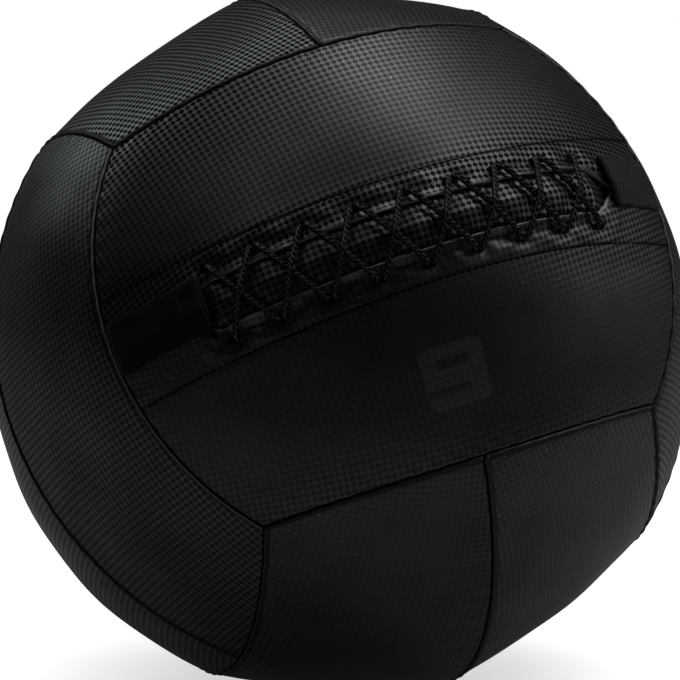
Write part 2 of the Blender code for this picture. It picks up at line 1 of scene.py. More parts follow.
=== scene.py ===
# %% [markdown]
# # A laced wall ball
# This lesson dresses a 9 kg wall ball that was built as plain solids. Each solid keeps its name and its
# place, and gets the surface of the real thing: embossed leatherette strips, lapped seams, a laced closure.
# Everything is in metres, and the solids are loaded first, because nothing here may move or resize them.

# %% Load the solids
import math

import bmesh
import bpy
import numpy as np
from mathutils import Euler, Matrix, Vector


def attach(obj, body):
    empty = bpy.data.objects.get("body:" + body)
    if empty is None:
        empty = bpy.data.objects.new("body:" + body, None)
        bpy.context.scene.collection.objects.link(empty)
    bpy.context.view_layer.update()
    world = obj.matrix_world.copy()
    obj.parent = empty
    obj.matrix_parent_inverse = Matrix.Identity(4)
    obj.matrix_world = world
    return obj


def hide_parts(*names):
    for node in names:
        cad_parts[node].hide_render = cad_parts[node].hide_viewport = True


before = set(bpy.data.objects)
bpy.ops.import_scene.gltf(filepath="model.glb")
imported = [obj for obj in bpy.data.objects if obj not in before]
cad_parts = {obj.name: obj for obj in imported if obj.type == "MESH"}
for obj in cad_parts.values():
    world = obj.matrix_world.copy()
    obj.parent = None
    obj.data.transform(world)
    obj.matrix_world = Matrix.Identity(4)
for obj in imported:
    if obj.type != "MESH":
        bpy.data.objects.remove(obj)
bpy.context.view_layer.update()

# %% [markdown]
# ## The ball's own measures
# The ball has its own axes: X runs along the lacing, Y across it and Z out of the laced face. These are
# the sizes that the solids were built to, so that a finer surface lands exactly on each of them.

# %% The ball and its seams
BALL_RADIUS = 0.178
SEAM_RISE = 0.002
# how deep the strips of each face sink, on its positive side and on its negative side
PANEL_DIPS = {"front": (0.005, 0.005), "right": (0.0037, 0.0013), "top": (0.0052, 0.0048)}
PANEL_THICKNESS = 0.0026
SEAM_CLEARANCE = 0.0003
STRIP_WIDTHS = (0.1199, 0.1207, 0.1082)
SEAM_BOWS = (0.0072, 0.0119, 0.0044)
SEAM_MIDDLE = np.sin(np.array(STRIP_WIDTHS) / BALL_RADIUS)
CORNER = np.sin((np.array(STRIP_WIDTHS) - np.array(SEAM_BOWS)) / BALL_RADIUS)
CORNER = CORNER / np.linalg.norm(CORNER)
# the axes of each face: out of it, along its strips, and across them
FACES = {"front": (2, 0, 1), "right": (0, 1, 2), "top": (1, 2, 0)}
print("seams at", SEAM_MIDDLE.round(3), "of the radius, corners at", CORNER.round(3))

# %% How it lies on the floor
LIE_DEGREES = (60.5, -13.0, 21.3)
REST_FLAT_RADIUS = 0.036
LIE = np.array(Euler([math.radians(angle) for angle in LIE_DEGREES]).to_matrix())
DOWN = LIE.T @ np.array([0.0, 0.0, -1.0])

# %% The laced closure
HOLE_COUNT = 9
HOLE_PITCH = 0.027
HOLE_ROW_OFFSET = 0.0196
HOLE_CLEARANCE = 0.0012
HOLE_SLACK = 0.0019
FLAP_GAP = 0.024
GAP_RUNOUT = 0.026
FACING_DEPTH = 0.029
FACING_THICKNESS = 0.0012
FACING_RUNOUT = 0.018
LAYER_CLEARANCE = 0.0004
TONGUE_WIDTH = 0.033
TONGUE_THICKNESS = 0.0015
TONGUE_RUNOUT = 0.028
LACE_DIAMETER = 0.003
LACE_GAP = 0.0007
LACE_BEND_RADIUS = 0.0026
LACE_SAG = 0.001
LACE_RADIUS = LACE_DIAMETER / 2
LEG_OFFSET = (LACE_DIAMETER + LACE_GAP) / 2
CORD_RADIUS = 0.00165
HOLE_LENGTH = 2 * (LEG_OFFSET + CORD_RADIUS + HOLE_CLEARANCE / 3)
HOLE_WIDTH = 2 * (CORD_RADIUS + HOLE_SLACK / 4)
LAST_HOLE = (HOLE_COUNT - 1) / 2 * HOLE_PITCH
FACING_TOP = PANEL_THICKNESS + LAYER_CLEARANCE
FACING_BOTTOM = FACING_TOP + FACING_THICKNESS
TONGUE_TOP = FACING_BOTTOM + LAYER_CLEARANCE
FIRST_RUNG = TONGUE_TOP + TONGUE_THICKNESS + LACE_GAP + LACE_RADIUS
SECOND_RUNG = FIRST_RUNG + LACE_DIAMETER + LACE_GAP
print(f"{HOLE_COUNT} pairs of holes over {2000 * LAST_HOLE:.0f} mm")

# %% [markdown]
# ## The shape of the leatherette
# A filled ball isn't round: it stands high along its seams, where two layers are sewn together, and
# sinks a little inside each strip. The same few formulas give every layer of the ball, from the outer
# leatherette to the foam, so they are written once and take whole arrays of directions.


# %% Seams and relief
def seam_coordinate(axis, share):
    """Where a long seam lies across this axis: a parabola, highest half way between its corners."""
    return CORNER[axis] + (SEAM_MIDDLE[axis] - CORNER[axis]) * (1 - np.minimum(np.abs(share), 1) ** 2)


def relief(directions):
    """Height over the nominal ball: the seam's rise, less a dip that follows 1 - (2w - 1)^2 over the
    width w of a strip and 1 - l^4 over its length l."""
    size = np.abs(directions)
    height = np.full(size.shape[:-1], SEAM_RISE)
    for face, (normal, along, across) in FACES.items():
        long_seam = seam_coordinate(across, size[..., along] / CORNER[along])
        end_seam = seam_coordinate(normal, size[..., across] / CORNER[across])
        end = np.sqrt(np.maximum(1 - end_seam ** 2 - size[..., across] ** 2, 0.01))
        width_share = np.minimum(size[..., across] / long_seam, 1)
        length_share = np.minimum(size[..., along] / end, 1)
        dip = (1 - (2 * width_share - 1) ** 2) * (1 - length_share ** 4)
        inside = (size[..., across] <= long_seam) & (size[..., normal] >= end_seam)
        deepest = np.where(directions[..., normal] > 0, *PANEL_DIPS[face])
        height = np.where(inside, SEAM_RISE - deepest * dip, height)
    return height


LOWEST = BALL_RADIUS + float(relief(DOWN[None])[0])
REST_HEIGHT = math.sqrt(LOWEST ** 2 - REST_FLAT_RADIUS ** 2)
print(f"the centre rests {1000 * REST_HEIGHT:.1f} mm over the floor")


# %% From directions to points in the world
def on_ball(directions, height):
    """Points at a height over the leatherette: direction times radius, and never under the flat that
    the ball's weight presses into it."""
    directions = directions / np.linalg.norm(directions, axis=-1, keepdims=True)
    radius = BALL_RADIUS + relief(directions) + height
    downwards = np.maximum(directions @ DOWN, 1e-6)
    flat = REST_HEIGHT + np.minimum(height, 0)
    radius = np.minimum(radius, flat / downwards)
    return (directions * radius[..., None]) @ LIE.T + np.array([0, 0, REST_HEIGHT])


def laced_direction(along, across):
    """The direction of a place on the laced face: a turn about Y and a rise towards Y, in radians."""
    turn, rise = np.broadcast_arrays(np.asarray(along) / BALL_RADIUS, np.asarray(across) / BALL_RADIUS)
    return np.stack([np.sin(turn) * np.cos(rise), np.sin(rise), np.cos(turn) * np.cos(rise)], axis=-1)


def laced_place(directions):
    """The distances along and across the lacing of a direction: the two angles times the radius."""
    along = BALL_RADIUS * np.arctan2(directions[..., 0], directions[..., 2])
    return along, BALL_RADIUS * np.arcsin(np.clip(directions[..., 1], -1, 1))


def laced_point(along, across, height):
    """A point over the laced face, in the world."""
    return on_ball(laced_direction(along, across), np.asarray(height))


def half_gap(along):
    """Half the gap between the flaps: full as far as the last hole, then a cosine down to nothing."""
    share = np.clip((np.abs(along) - LAST_HOLE) / GAP_RUNOUT, 0, 1)
    return FLAP_GAP / 2 * (1 + np.cos(np.pi * share)) / 2


# %% [markdown]
# ## One strip of the cover
# The cover has twelve strips, two on each face, and a strip has four curved edges: its face's middle
# seam, one long seam and two ends. A Coons patch fills them: it blends the two long edges, adds the
# blend of the two ends and takes away the blend of the four corners, which were counted twice.


# %% Directions over a strip
def strip_directions(strip, u, v):
    """Directions at shares u along and v across a strip (arrays of one shape): the Coons patch of its
    four edges, turned to its face and mirrored to its side."""
    normal, along, across = FACES[strip["face"]]
    seam_turn = math.acos(SEAM_MIDDLE[normal])
    corner_turn, corner_rise = math.asin(CORNER[along]), math.asin(CORNER[across])

    def filled(t, b):
        return np.stack([t, b, np.sqrt(1 - t ** 2 - b ** 2)], axis=-1)

    def first_edge(share):
        turn = (2 * share - 1) * seam_turn
        rise = half_gap(turn * BALL_RADIUS) / BALL_RADIUS if strip["laced"] else 0 * share
        return filled(np.sin(turn) * np.cos(rise), np.sin(rise))

    def last_edge(share):
        t = CORNER[along] * np.sin((2 * share - 1) * corner_turn) / math.sin(corner_turn)
        return filled(t, seam_coordinate(across, t / CORNER[along]))

    def end_edge(share, sign):
        b = CORNER[across] * np.sin(share * corner_rise) / math.sin(corner_rise)
        n = seam_coordinate(normal, b / CORNER[across])
        return np.stack([sign * np.sqrt(1 - b ** 2 - n ** 2), b, n], axis=-1)

    zero, one = np.zeros(1), np.ones(1)
    uu, vv = u[..., None], v[..., None]
    local = (1 - vv) * first_edge(u) + vv * last_edge(u) + (1 - uu) * end_edge(v, -1) + uu * end_edge(v, 1)
    local = local - (1 - vv) * ((1 - uu) * first_edge(zero) + uu * first_edge(one))
    local = local - vv * ((1 - uu) * last_edge(zero) + uu * last_edge(one))
    directions = np.empty_like(local)
    directions[..., along], directions[..., across], directions[..., normal] = np.moveaxis(local, -1, 0)
    directions[..., normal] *= strip["face_sign"]
    directions[..., across] *= strip["side_sign"]
    return directions / np.linalg.norm(directions, axis=-1, keepdims=True)


STRIPS = {}
for place, face, face_sign, side_sign in (
    ("front_upper", "front", 1, 1), ("front_lower", "front", 1, -1),
    ("rear_upper", "front", -1, 1), ("rear_lower", "front", -1, -1),
    ("right_front", "right", 1, 1), ("right_rear", "right", 1, -1),
    ("left_front", "right", -1, 1), ("left_rear", "right", -1, -1),
    ("top_right", "top", 1, 1), ("top_left", "top", 1, -1),
    ("bottom_right", "top", -1, 1), ("bottom_left", "top", -1, -1),
):
    laced = (face, face_sign) == ("front", 1)
    STRIPS[place] = {"face": face, "face_sign": face_sign, "side_sign": side_sign, "laced": laced}
print(len(STRIPS), "strips:", ", ".join(STRIPS))


# %% [markdown]
# ## From arrays to closed meshes
# Every surface below is a grid of points. A sheet of leatherette is two such grids with a wall round
# their border, and where cells are left out, as at a lace hole, the hole gets its own wall.

# %% Grids into meshes
SHARP_ANGLE = math.radians(50)


def new_object(name, data):
    """An object for a mesh, lamp or camera, put into the scene."""
    made = bpy.data.objects.new(name, data)
    bpy.context.scene.collection.objects.link(made)
    return made


def travelled(points):
    """Metres travelled along a line of points: the lengths of its steps, added up."""
    return np.concatenate([[0], np.cumsum(np.linalg.norm(np.diff(points, axis=0), axis=1))])


def grid_quads(rows, columns, wrap=False):
    """Corner numbers of a grid's cells; a wrapped grid joins its last column to its first."""
    i = np.arange(rows - 1)[:, None]
    j = np.arange(columns if wrap else columns - 1)[None, :]
    k = (j + 1) % columns
    here, next_row = i * columns, (i + 1) * columns
    corners = np.broadcast_arrays(here + j, next_row + j, next_row + k, here + k)
    return np.stack(corners, axis=-1).reshape(-1, 4)


def tube_faces(rows, columns):
    """Cells of a grid that closes round, and a fan of triangles over each end, to two points more."""
    count = rows * columns
    faces = grid_quads(rows, columns, wrap=True).tolist()
    for first, tip in ((0, count), (count - columns, count + 1)):
        faces += [(first + j, first + (j + 1) % columns, tip) for j in range(columns)]
    return faces


def walls_between(quads, count):
    """A wall cell for each border edge of a sheet: an edge that only one cell uses, in that cell's
    order, joined to the same edge of the second grid, whose points come count places later."""
    starts, ends = quads.ravel(), np.roll(quads, -1, axis=1).ravel()
    keys = np.minimum(starts, ends) * np.int64(count) + np.maximum(starts, ends)
    _, first, uses = np.unique(keys, return_index=True, return_counts=True)
    border = first[uses == 1]
    here, there = starts[border], ends[border]
    return np.stack([there, here, here + count, there + count], axis=-1)


def new_piece(name, points, faces, uv=None, marks=None, *, material, slot, stands_for=()):
    """A smooth mesh object from points and cells, its faces turned outwards, riding on the ball. Marks
    are named values at its points, which its material can read."""
    mesh = bpy.data.meshes.new(name)
    mesh.from_pydata(np.asarray(points).reshape(-1, 3).tolist(), [], [list(face) for face in faces])
    if uv is not None:
        layer = mesh.uv_layers.new(name="weave")
        loops = np.empty(len(mesh.loops), dtype=np.int32)
        mesh.loops.foreach_get("vertex_index", loops)
        layer.data.foreach_set("uv", np.asarray(uv).reshape(-1, 2)[loops].ravel())
    for title, values in (marks or {}).items():
        mesh.attributes.new(title, "FLOAT", "POINT").data.foreach_set("value", np.asarray(values).ravel())
    work = bmesh.new()
    work.from_mesh(mesh)
    bmesh.ops.recalc_face_normals(work, faces=work.faces)
    work.to_mesh(mesh)
    work.free()
    mesh.shade_smooth()
    mesh.set_sharp_from_angle(angle=SHARP_ANGLE)
    mesh.materials.append(material)
    piece = new_object(name, mesh)
    if stands_for:
        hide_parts(*stands_for)
    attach(piece, "root")
    return piece


def sheet_piece(name, outer, inner, uv, keep=None, marks=None, **rest):
    """A closed sheet from two grids of points; keep says which cells stay, so that holes go through."""
    rows, columns = outer.shape[:2]
    quads = grid_quads(rows, columns)
    if keep is not None:
        quads = quads[keep.ravel()]
    count = rows * columns
    walls = walls_between(quads, count)
    faces = np.concatenate([quads, quads[:, ::-1] + count, walls])
    points = np.concatenate([outer.reshape(-1, 3), inner.reshape(-1, 3)])
    used = np.unique(faces)
    renumber = np.zeros(len(points), dtype=int)
    renumber[used] = np.arange(len(used))
    uv = np.concatenate([uv.reshape(-1, 2)] * 2)[used]
    marks = {title: np.concatenate([values.ravel()] * 2)[used] for title, values in (marks or {}).items()}
    return new_piece(name, points[used], renumber[faces], uv, marks, **rest)


# %% [markdown]
# ## Finishes that repeat
# The embossed checker, the grain under it and the dust on it show up on several pieces, so each is a
# node group: a small machine with named inputs that every material can hold with its own numbers.


# %% Small tools for wiring nodes
def add_node(tree, kind, *inputs, **settings):
    """A node with its settings made and its inputs filled: a socket is linked, a number is typed in,
    and None is left as it is."""
    node = tree.nodes.new(kind)
    for key, value in settings.items():
        setattr(node, key, value)
    for socket, value in zip(node.inputs, inputs):
        if isinstance(value, bpy.types.NodeSocket):
            tree.links.new(value, socket)
        elif value is not None:
            socket.default_value = value
    return node


def maths(tree, operation, *inputs, clamp=False):
    """The output of one Math node."""
    return add_node(tree, "ShaderNodeMath", *inputs, operation=operation, use_clamp=clamp).outputs[0]


def new_group(name, inputs, outputs):
    """An empty shader group with its sockets made, and its two end nodes."""
    tree = bpy.data.node_groups.new(name, "ShaderNodeTree")
    for title, kind, value in inputs:
        socket = tree.interface.new_socket(name=title, in_out="INPUT", socket_type=kind)
        if value is not None:
            socket.default_value = value
    for title, kind in outputs:
        tree.interface.new_socket(name=title, in_out="OUTPUT", socket_type=kind)
    return tree, tree.nodes.new("NodeGroupInput"), tree.nodes.new("NodeGroupOutput")


def place_group(material, group, **values):
    """The group in a material, with this material's own numbers in its named inputs."""
    node = material.node_tree.nodes.new("ShaderNodeGroup")
    node.node_tree = group
    for title, value in values.items():
        socket = node.inputs[title.replace("_", " ")]
        if isinstance(value, bpy.types.NodeSocket):
            material.node_tree.links.new(value, socket)
        else:
            socket.default_value = value
    return node


# %% [markdown]
# In one set of cells the fine threads lie flush and shine, in the other they are sunk and stay dull, and
# that is nearly all the contrast there is. So the group gives one mask, how far a place is sunk, and the
# faint rounding of each cell as a normal. The material hands the rest of the mask to its clear coat, and
# also paints the flush cells lighter and the sunk ones darker, as a painted sheen and shade.


# %% The embossed checker
SUNK_EDGE = (1.10, 1.70)


def checker_group():
    """Slope of a cell: its own coordinate from -1 to 1 times Slope, on the axis that it is rounded on,
    and times Other slope on the other axis. Sunk: the even cells, with |x|^4 + |y|^4 to round their
    corners, so that the flush cells join there."""
    inputs = (
        ("Cell", "NodeSocketFloat", 0.00245), ("Turn", "NodeSocketFloat", math.pi / 4),
        ("Slope", "NodeSocketFloat", 0.4), ("Other slope", "NodeSocketFloat", 0.12),
    )
    outputs = (("Normal", "NodeSocketVector"), ("Sunk", "NodeSocketFloat"))
    tree, start, end = new_group("embossed checker", inputs, outputs)
    place = add_node(tree, "ShaderNodeUVMap", uv_map="weave").outputs[0]
    turn = start.outputs["Turn"]
    on_bias = add_node(tree, "ShaderNodeVectorRotate", place, (0, 0, 0), None, turn, rotation_type="Z_AXIS")
    split = add_node(tree, "ShaderNodeSeparateXYZ", on_bias.outputs[0])
    cells, within = [], []
    for axis in (0, 1):
        count = maths(tree, "DIVIDE", split.outputs[axis], start.outputs["Cell"])
        cells.append(maths(tree, "FLOOR", count))
        share = maths(tree, "SUBTRACT", count, cells[axis])
        within.append(maths(tree, "MULTIPLY_ADD", share, 2.0, -1.0))
    total = maths(tree, "ADD", cells[0], cells[1])
    over = maths(tree, "FLOORED_MODULO", total, 2.0)
    under = maths(tree, "SUBTRACT", 1.0, over)
    slopes = []
    for axis, main, other in ((0, over, under), (1, under, over)):
        strong = maths(tree, "MULTIPLY", main, start.outputs["Slope"])
        slope = maths(tree, "MULTIPLY_ADD", other, start.outputs["Other slope"], strong)
        slopes.append(maths(tree, "MULTIPLY", slope, within[axis]))
    vector = add_node(tree, "ShaderNodeCombineXYZ", slopes[0], slopes[1], 1.0).outputs[0]
    turned_back = add_node(
        tree, "ShaderNodeVectorRotate", vector, (0, 0, 0), None, turn, rotation_type="Z_AXIS", invert=True
    )
    unit = add_node(tree, "ShaderNodeVectorMath", turned_back.outputs[0], operation="NORMALIZE").outputs[0]
    colour = add_node(
        tree, "ShaderNodeVectorMath", unit, (0.5, 0.5, 0.5), (0.5, 0.5, 0.5), operation="MULTIPLY_ADD"
    ).outputs[0]
    normal = add_node(tree, "ShaderNodeNormalMap", 1.0, colour, uv_map="weave", space="TANGENT")
    corner = [maths(tree, "POWER", maths(tree, "ABSOLUTE", share), 4.0) for share in within]
    inner = add_node(tree, "ShaderNodeMapRange", maths(tree, "ADD", *corner), *SUNK_EDGE, 1.0, 0.0)
    tree.links.new(normal.outputs[0], end.inputs["Normal"])
    tree.links.new(maths(tree, "MULTIPLY", inner.outputs[0], under), end.inputs["Sunk"])
    return tree


CHECKER = checker_group()


def grain_group():
    """Fine grain and broad unevenness from two noises in the object's own coordinates: a height from 0
    to 1 for a bump, and a value from 0 to 1 that drifts slowly over the surface."""
    inputs = (("Grain size", "NodeSocketFloat", 0.0006), ("Patch size", "NodeSocketFloat", 0.05))
    outputs = (("Height", "NodeSocketFloat"), ("Patches", "NodeSocketFloat"))
    tree, start, end = new_group("grain and patches", inputs, outputs)
    place = add_node(tree, "ShaderNodeTexCoord").outputs["Object"]
    for title, output, detail in (("Grain size", "Height", 2.0), ("Patch size", "Patches", 3.0)):
        scale = maths(tree, "DIVIDE", 1.0, start.outputs[title])
        noise = add_node(tree, "ShaderNodeTexNoise", place)
        tree.links.new(scale, noise.inputs["Scale"])
        noise.inputs["Detail"].default_value = detail
        tree.links.new(noise.outputs[0], end.inputs[output])
    return tree


GRAIN = grain_group()


def dust_group():
    """A few specks of lint: the middles of Voronoi cells, kept in those cells whose random number is
    under Share."""
    inputs = (
        ("Spacing", "NodeSocketFloat", 0.006),
        ("Size", "NodeSocketFloat", 0.05),
        ("Share", "NodeSocketFloat", 0.3),
    )
    tree, start, end = new_group("lint specks", inputs, (("Speck", "NodeSocketFloat"),))
    place = add_node(tree, "ShaderNodeTexCoord").outputs["Object"]
    cells = add_node(tree, "ShaderNodeTexVoronoi", place)
    tree.links.new(maths(tree, "DIVIDE", 1.0, start.outputs["Spacing"]), cells.inputs["Scale"])
    near = maths(tree, "LESS_THAN", cells.outputs["Distance"], start.outputs["Size"])
    pick = add_node(tree, "ShaderNodeSeparateColor", cells.outputs["Color"]).outputs[0]
    kept = maths(tree, "LESS_THAN", pick, start.outputs["Share"])
    tree.links.new(maths(tree, "MULTIPLY", near, kept), end.inputs["Speck"])
    return tree


DUST = dust_group()
print("groups:", ", ".join(group.name for group in (CHECKER, GRAIN, DUST)))


# %% [markdown]
# ## Leatherette
# The cover is black polyurethane on a knitted back: almost no colour of its own, and a soft sheen. Gloss
# could come from roughness alone, but then the dull cells would still mirror the lamps a little. A clear
# coat on the flush cells only gives the sharp contrast of the real thing. Three marks that the meshes
# carry say where it is sewn down, turned over an edge, or rubbed.


# %% Leatherette materials
def new_material(name, colour, roughness, specular=0.5):
    """A material with a Principled shader, and these three numbers typed into it."""
    material = bpy.data.materials.new(name)
    material.use_nodes = True
    shader = material.node_tree.nodes["Principled BSDF"]
    shader.inputs["Base Color"].default_value = (*colour, 1.0)
    shader.inputs["Roughness"].default_value = roughness
    shader.inputs["Specular IOR Level"].default_value = specular
    material.diffuse_color = (*colour, 1.0)
    return material, material.node_tree, shader


def link_bump(tree, shader, height, distance, normal=None):
    """A Bump node of full strength and this height in metres, wired into the shader's normal."""
    bump = add_node(tree, "ShaderNodeBump", 1.0)
    bump.inputs["Distance"].default_value = distance
    tree.links.new(height, bump.inputs["Height"])
    if normal is not None:
        tree.links.new(normal, bump.inputs["Normal"])
    tree.links.new(bump.outputs[0], shader.inputs["Normal"])


def read_mark(tree, title):
    """A value that the mesh carries at its points."""
    return add_node(tree, "ShaderNodeAttribute", attribute_name=title).outputs["Fac"]


def mix_colour(tree, share, first, second):
    """One colour turning into another by a share from 0 to 1."""
    node = tree.nodes.new("ShaderNodeMix")
    node.data_type = "RGBA"
    for socket, value in ((node.inputs[0], share), (node.inputs[6], first), (node.inputs[7], second)):
        if isinstance(value, bpy.types.NodeSocket):
            tree.links.new(value, socket)
        else:
            socket.default_value = value
    return node.outputs[2]


# %% The leatherette's numbers
LEATHERETTE = (0.0042, 0.0046, 0.0052)
LINT = (0.30, 0.30, 0.30)
LINT_SHARE = 0.18
# how much lighter the flush cells and darker the sunk ones are painted: a painted sheen and a painted shade
FLUSH_CELL_PAINTED_SHEEN = 1.35
SUNK_CELL_PAINTED_SHADE = 0.5
OTHER_SLOPE = 0.3
BASE_ROUGHNESS = 0.6
BASE_SPECULAR = 0.045
SUNK_ROUGHNESS = 0.25
ROUGHNESS_DRIFT = 0.12
COAT_ROUGHNESS = 0.45
COAT_IOR = 1.7
COAT_LEAST = 0.4
RUBBED_LOSS = 0.45
SEWN_SHINE = 0.18
TURNED_SHINE = 0.9
# the colour of the highlight painted onto a turned fold, and the power of the turned mark that narrows it
PAINTED_FOLD_HIGHLIGHT = (0.22, 0.22, 0.22)
FOLD_HIGHLIGHT_POWER = 4.0
GRAIN_HEIGHT = 0.00002


# %% Leatherette from the checker and the marks
def leatherette(name, slope, colour=LEATHERETTE, lint=LINT_SHARE):
    """Black leatherette: a dull base with the checker's normal and a fine grain, and a clear coat on the
    cells of one set only, which wears off in patches. Three marks flatten the checker: where a strip is
    rubbed the two sets come closer, where a seam is sewn the coat is nearly gone, and where an edge is
    turned the coat lies over both sets. On the very fold the turned mark, to the fourth power, paints a
    pale highlight into the colour, and the flush cells are painted lighter and the sunk ones darker, a
    painted sheen and shade."""
    material, tree, shader = new_material(name, colour, BASE_ROUGHNESS, BASE_SPECULAR)
    shader.inputs["Coat Roughness"].default_value = COAT_ROUGHNESS
    shader.inputs["Coat IOR"].default_value = COAT_IOR
    sewn, turned, rubbed = (read_mark(tree, title) for title in ("sewn", "turned", "rubbed"))
    grained = place_group(material, GRAIN)
    free = maths(tree, "SUBTRACT", 1.0, maths(tree, "ADD", sewn, turned), clamp=True)
    wear = maths(tree, "ADD", grained.outputs["Patches"], COAT_LEAST, clamp=True)
    pressed = maths(tree, "MULTIPLY", free, wear)
    crisp = maths(tree, "SUBTRACT", 1.0, rubbed, clamp=True)
    steep = maths(tree, "MULTIPLY", pressed, crisp)
    checker = place_group(
        material, CHECKER, Slope=maths(tree, "MULTIPLY", steep, slope),
        Other_slope=maths(tree, "MULTIPLY", steep, slope * OTHER_SLOPE),
    )
    sunk = maths(tree, "MULTIPLY", checker.outputs["Sunk"], crisp)
    shine = maths(tree, "MULTIPLY_ADD", rubbed, -RUBBED_LOSS, 1.0)
    flush = maths(tree, "MULTIPLY", maths(tree, "SUBTRACT", 1.0, sunk), shine)
    flat_coat = maths(tree, "MULTIPLY_ADD", turned, TURNED_SHINE, maths(tree, "MULTIPLY", sewn, SEWN_SHINE))
    coat = maths(tree, "MULTIPLY_ADD", flush, pressed, flat_coat, clamp=True)
    tree.links.new(coat, shader.inputs["Coat Weight"])
    link_bump(tree, shader, grained.outputs["Height"], GRAIN_HEIGHT, checker.outputs["Normal"])
    least = BASE_ROUGHNESS - ROUGHNESS_DRIFT / 2
    drift = maths(tree, "MULTIPLY_ADD", grained.outputs["Patches"], ROUGHNESS_DRIFT, least)
    tree.links.new(maths(tree, "MULTIPLY_ADD", sunk, SUNK_ROUGHNESS, drift), shader.inputs["Roughness"])
    # painted sheen on the flush cells and painted shade on the sunk ones
    shades = [(*(share * value for value in colour), 1) for share in (FLUSH_CELL_PAINTED_SHEEN, SUNK_CELL_PAINTED_SHADE)]
    base = mix_colour(tree, sunk, *shades)
    # painted highlight: the very fold of a turned edge, and a gleaming ridge shoulder, is painted pale
    base = mix_colour(tree, maths(tree, "POWER", turned, FOLD_HIGHLIGHT_POWER), base, (*PAINTED_FOLD_HIGHLIGHT, 1))
    speck = place_group(material, DUST, Share=lint).outputs["Speck"]
    tree.links.new(mix_colour(tree, speck, base, (*LINT, 1)), shader.inputs["Base Color"])
    return material


STRIP_LEATHERETTE = leatherette("strip leatherette", slope=0.2)
FACING_LEATHERETTE = leatherette("facing leatherette", slope=0.1)
TONGUE_LEATHERETTE = leatherette("tongue leatherette", slope=0.15)
print("leatherettes:", STRIP_LEATHERETTE.name, FACING_LEATHERETTE.name, TONGUE_LEATHERETTE.name, sep=", ")

# %% [markdown]
# ## The strips with their seams
# At a seam both strips turn down into a narrow groove. On one side the doubled edge is also sewn down:
# a raised roll about 2 mm wide with a stitched valley beside it. The top and bottom strips carry it on
# their long seams and their ends, and the left and right strips on their long seams. Where two strips of
# one of these faces meet in its middle, one of the two carries it.

# %% Seam shapes
FOLD_RADIUS = 0.0015
RIDGE_HEIGHT = 0.0008
RIDGE_WIDTH = 0.0024
VALLEY_DEPTH = 0.0004
VALLEY_WIDTH = 0.0006
STITCH_INSET = RIDGE_WIDTH + VALLEY_WIDTH / 2
RIDGED_EDGES = {"front": (), "right": ("middle", "long"), "top": ("middle", "long", "start", "end")}
UNRIDGED_MIDDLES = ("right_rear", "left_rear", "top_left", "bottom_left")


def fold(distance, radius=FOLD_RADIUS):
    """How far an edge turns down: a quarter circle over its last stretch."""
    inwards = np.clip(radius - distance, 0, radius)
    return radius - np.sqrt(radius ** 2 - inwards ** 2)


def ridge(distance):
    """The sewn-down edge: half an ellipse over its width, and a bell-shaped valley after it."""
    share = 2 * distance / RIDGE_WIDTH - 1
    roll = np.sqrt(np.clip(1 - share ** 2, 0, 1))
    valley = np.exp(-((distance - STITCH_INSET) / VALLEY_WIDTH) ** 2)
    return RIDGE_HEIGHT * roll - VALLEY_DEPTH * valley


def ridged(place):
    """Which edges of a strip carry a ridge."""
    edges = RIDGED_EDGES[STRIPS[place]["face"]]
    return [edge for edge in edges if edge != "middle" or place not in UNRIDGED_MIDDLES]


# %% [markdown]
# ## What the lace does to the leatherette
# The lace pulls: the flap sinks round every hole and under every arm, and swells between them. All
# layers of the closure share one height function, so that what one layer does the next one follows.

# %% Holes, arms and swellings
HOLE_SINK = 0.0010
HOLE_SINK_RADIUS = 0.0040
FLAP_SWELL = 0.0011
ARM_REACH = 0.0055
UPPER_LIP_HEIGHT = 0.0008
LOWER_LIP_HEIGHT = 0.0015
LIP_WIDTH = 0.0013
END_DIVE = 0.0022
LIP_FADE = 0.004
DIVE_FADE = 0.006
LEAST_LIP = 0.3
PULLED_FOLDS = (0.0004, 0.0007)
FOLD_WAVES = 10
FOLD_SPACING = (0.005, 0.012)
SWELL_FADE = 0.008
SWELL_END = (0.02, 0.01)
DENT_DEPTH = 0.0022
DENT_PLACE = 0.0175
DENT_RADII = (0.0066, 0.0036)
CREASE_DEPTH = 0.0002
CREASE_WIDTH = 0.0007
HOLE_PLACES = (np.arange(HOLE_COUNT) - (HOLE_COUNT - 1) / 2) * HOLE_PITCH


def hole_share(along, across):
    """How far a place is from the nearest hole's middle: 1 on the hole's oval rim, less inside it."""
    nearest = np.clip(np.round(along / HOLE_PITCH), -(HOLE_COUNT - 1) / 2, (HOLE_COUNT - 1) / 2) * HOLE_PITCH
    x = (along - nearest) / (HOLE_LENGTH / 2)
    y = (np.abs(across) - HOLE_ROW_OFFSET) / (HOLE_WIDTH / 2)
    return np.sqrt(x ** 2 + y ** 2)


def arm_distance(along, across):
    """Distance to the nearest arm of the lace, which runs from a hole to the next one in the other row:
    the least distance to all of the arms' line segments."""
    least = np.full(np.broadcast(along, across).shape, np.inf)
    for left, right in zip(HOLE_PLACES[:-1], HOLE_PLACES[1:]):
        for row in (1, -1):
            a = np.array([left + LEG_OFFSET, row * HOLE_ROW_OFFSET])
            b = np.array([right - LEG_OFFSET, -row * HOLE_ROW_OFFSET])
            share = ((along - a[0]) * (b - a)[0] + (across - a[1]) * (b - a)[1]) / ((b - a) @ (b - a))
            share = np.clip(share, 0, 1)
            away = np.hypot(along - a[0] - share * (b - a)[0], across - a[1] - share * (b - a)[1])
            least = np.minimum(least, away)
    return least


def small_folds(along, across, seed):
    """Creases in every direction, 5 to 12 mm apart: the mean of ten sine waves over the flat sheet."""
    chance = np.random.default_rng(seed)
    total = np.zeros(np.broadcast(along, across).shape)
    for _ in range(FOLD_WAVES):
        turn, spacing = chance.uniform(0, np.pi), chance.uniform(*FOLD_SPACING)
        travel = along * np.cos(turn) + across * np.sin(turn)
        total += np.sin(2 * np.pi * travel / spacing + chance.uniform(0, 2 * np.pi)) / FOLD_WAVES
    return total


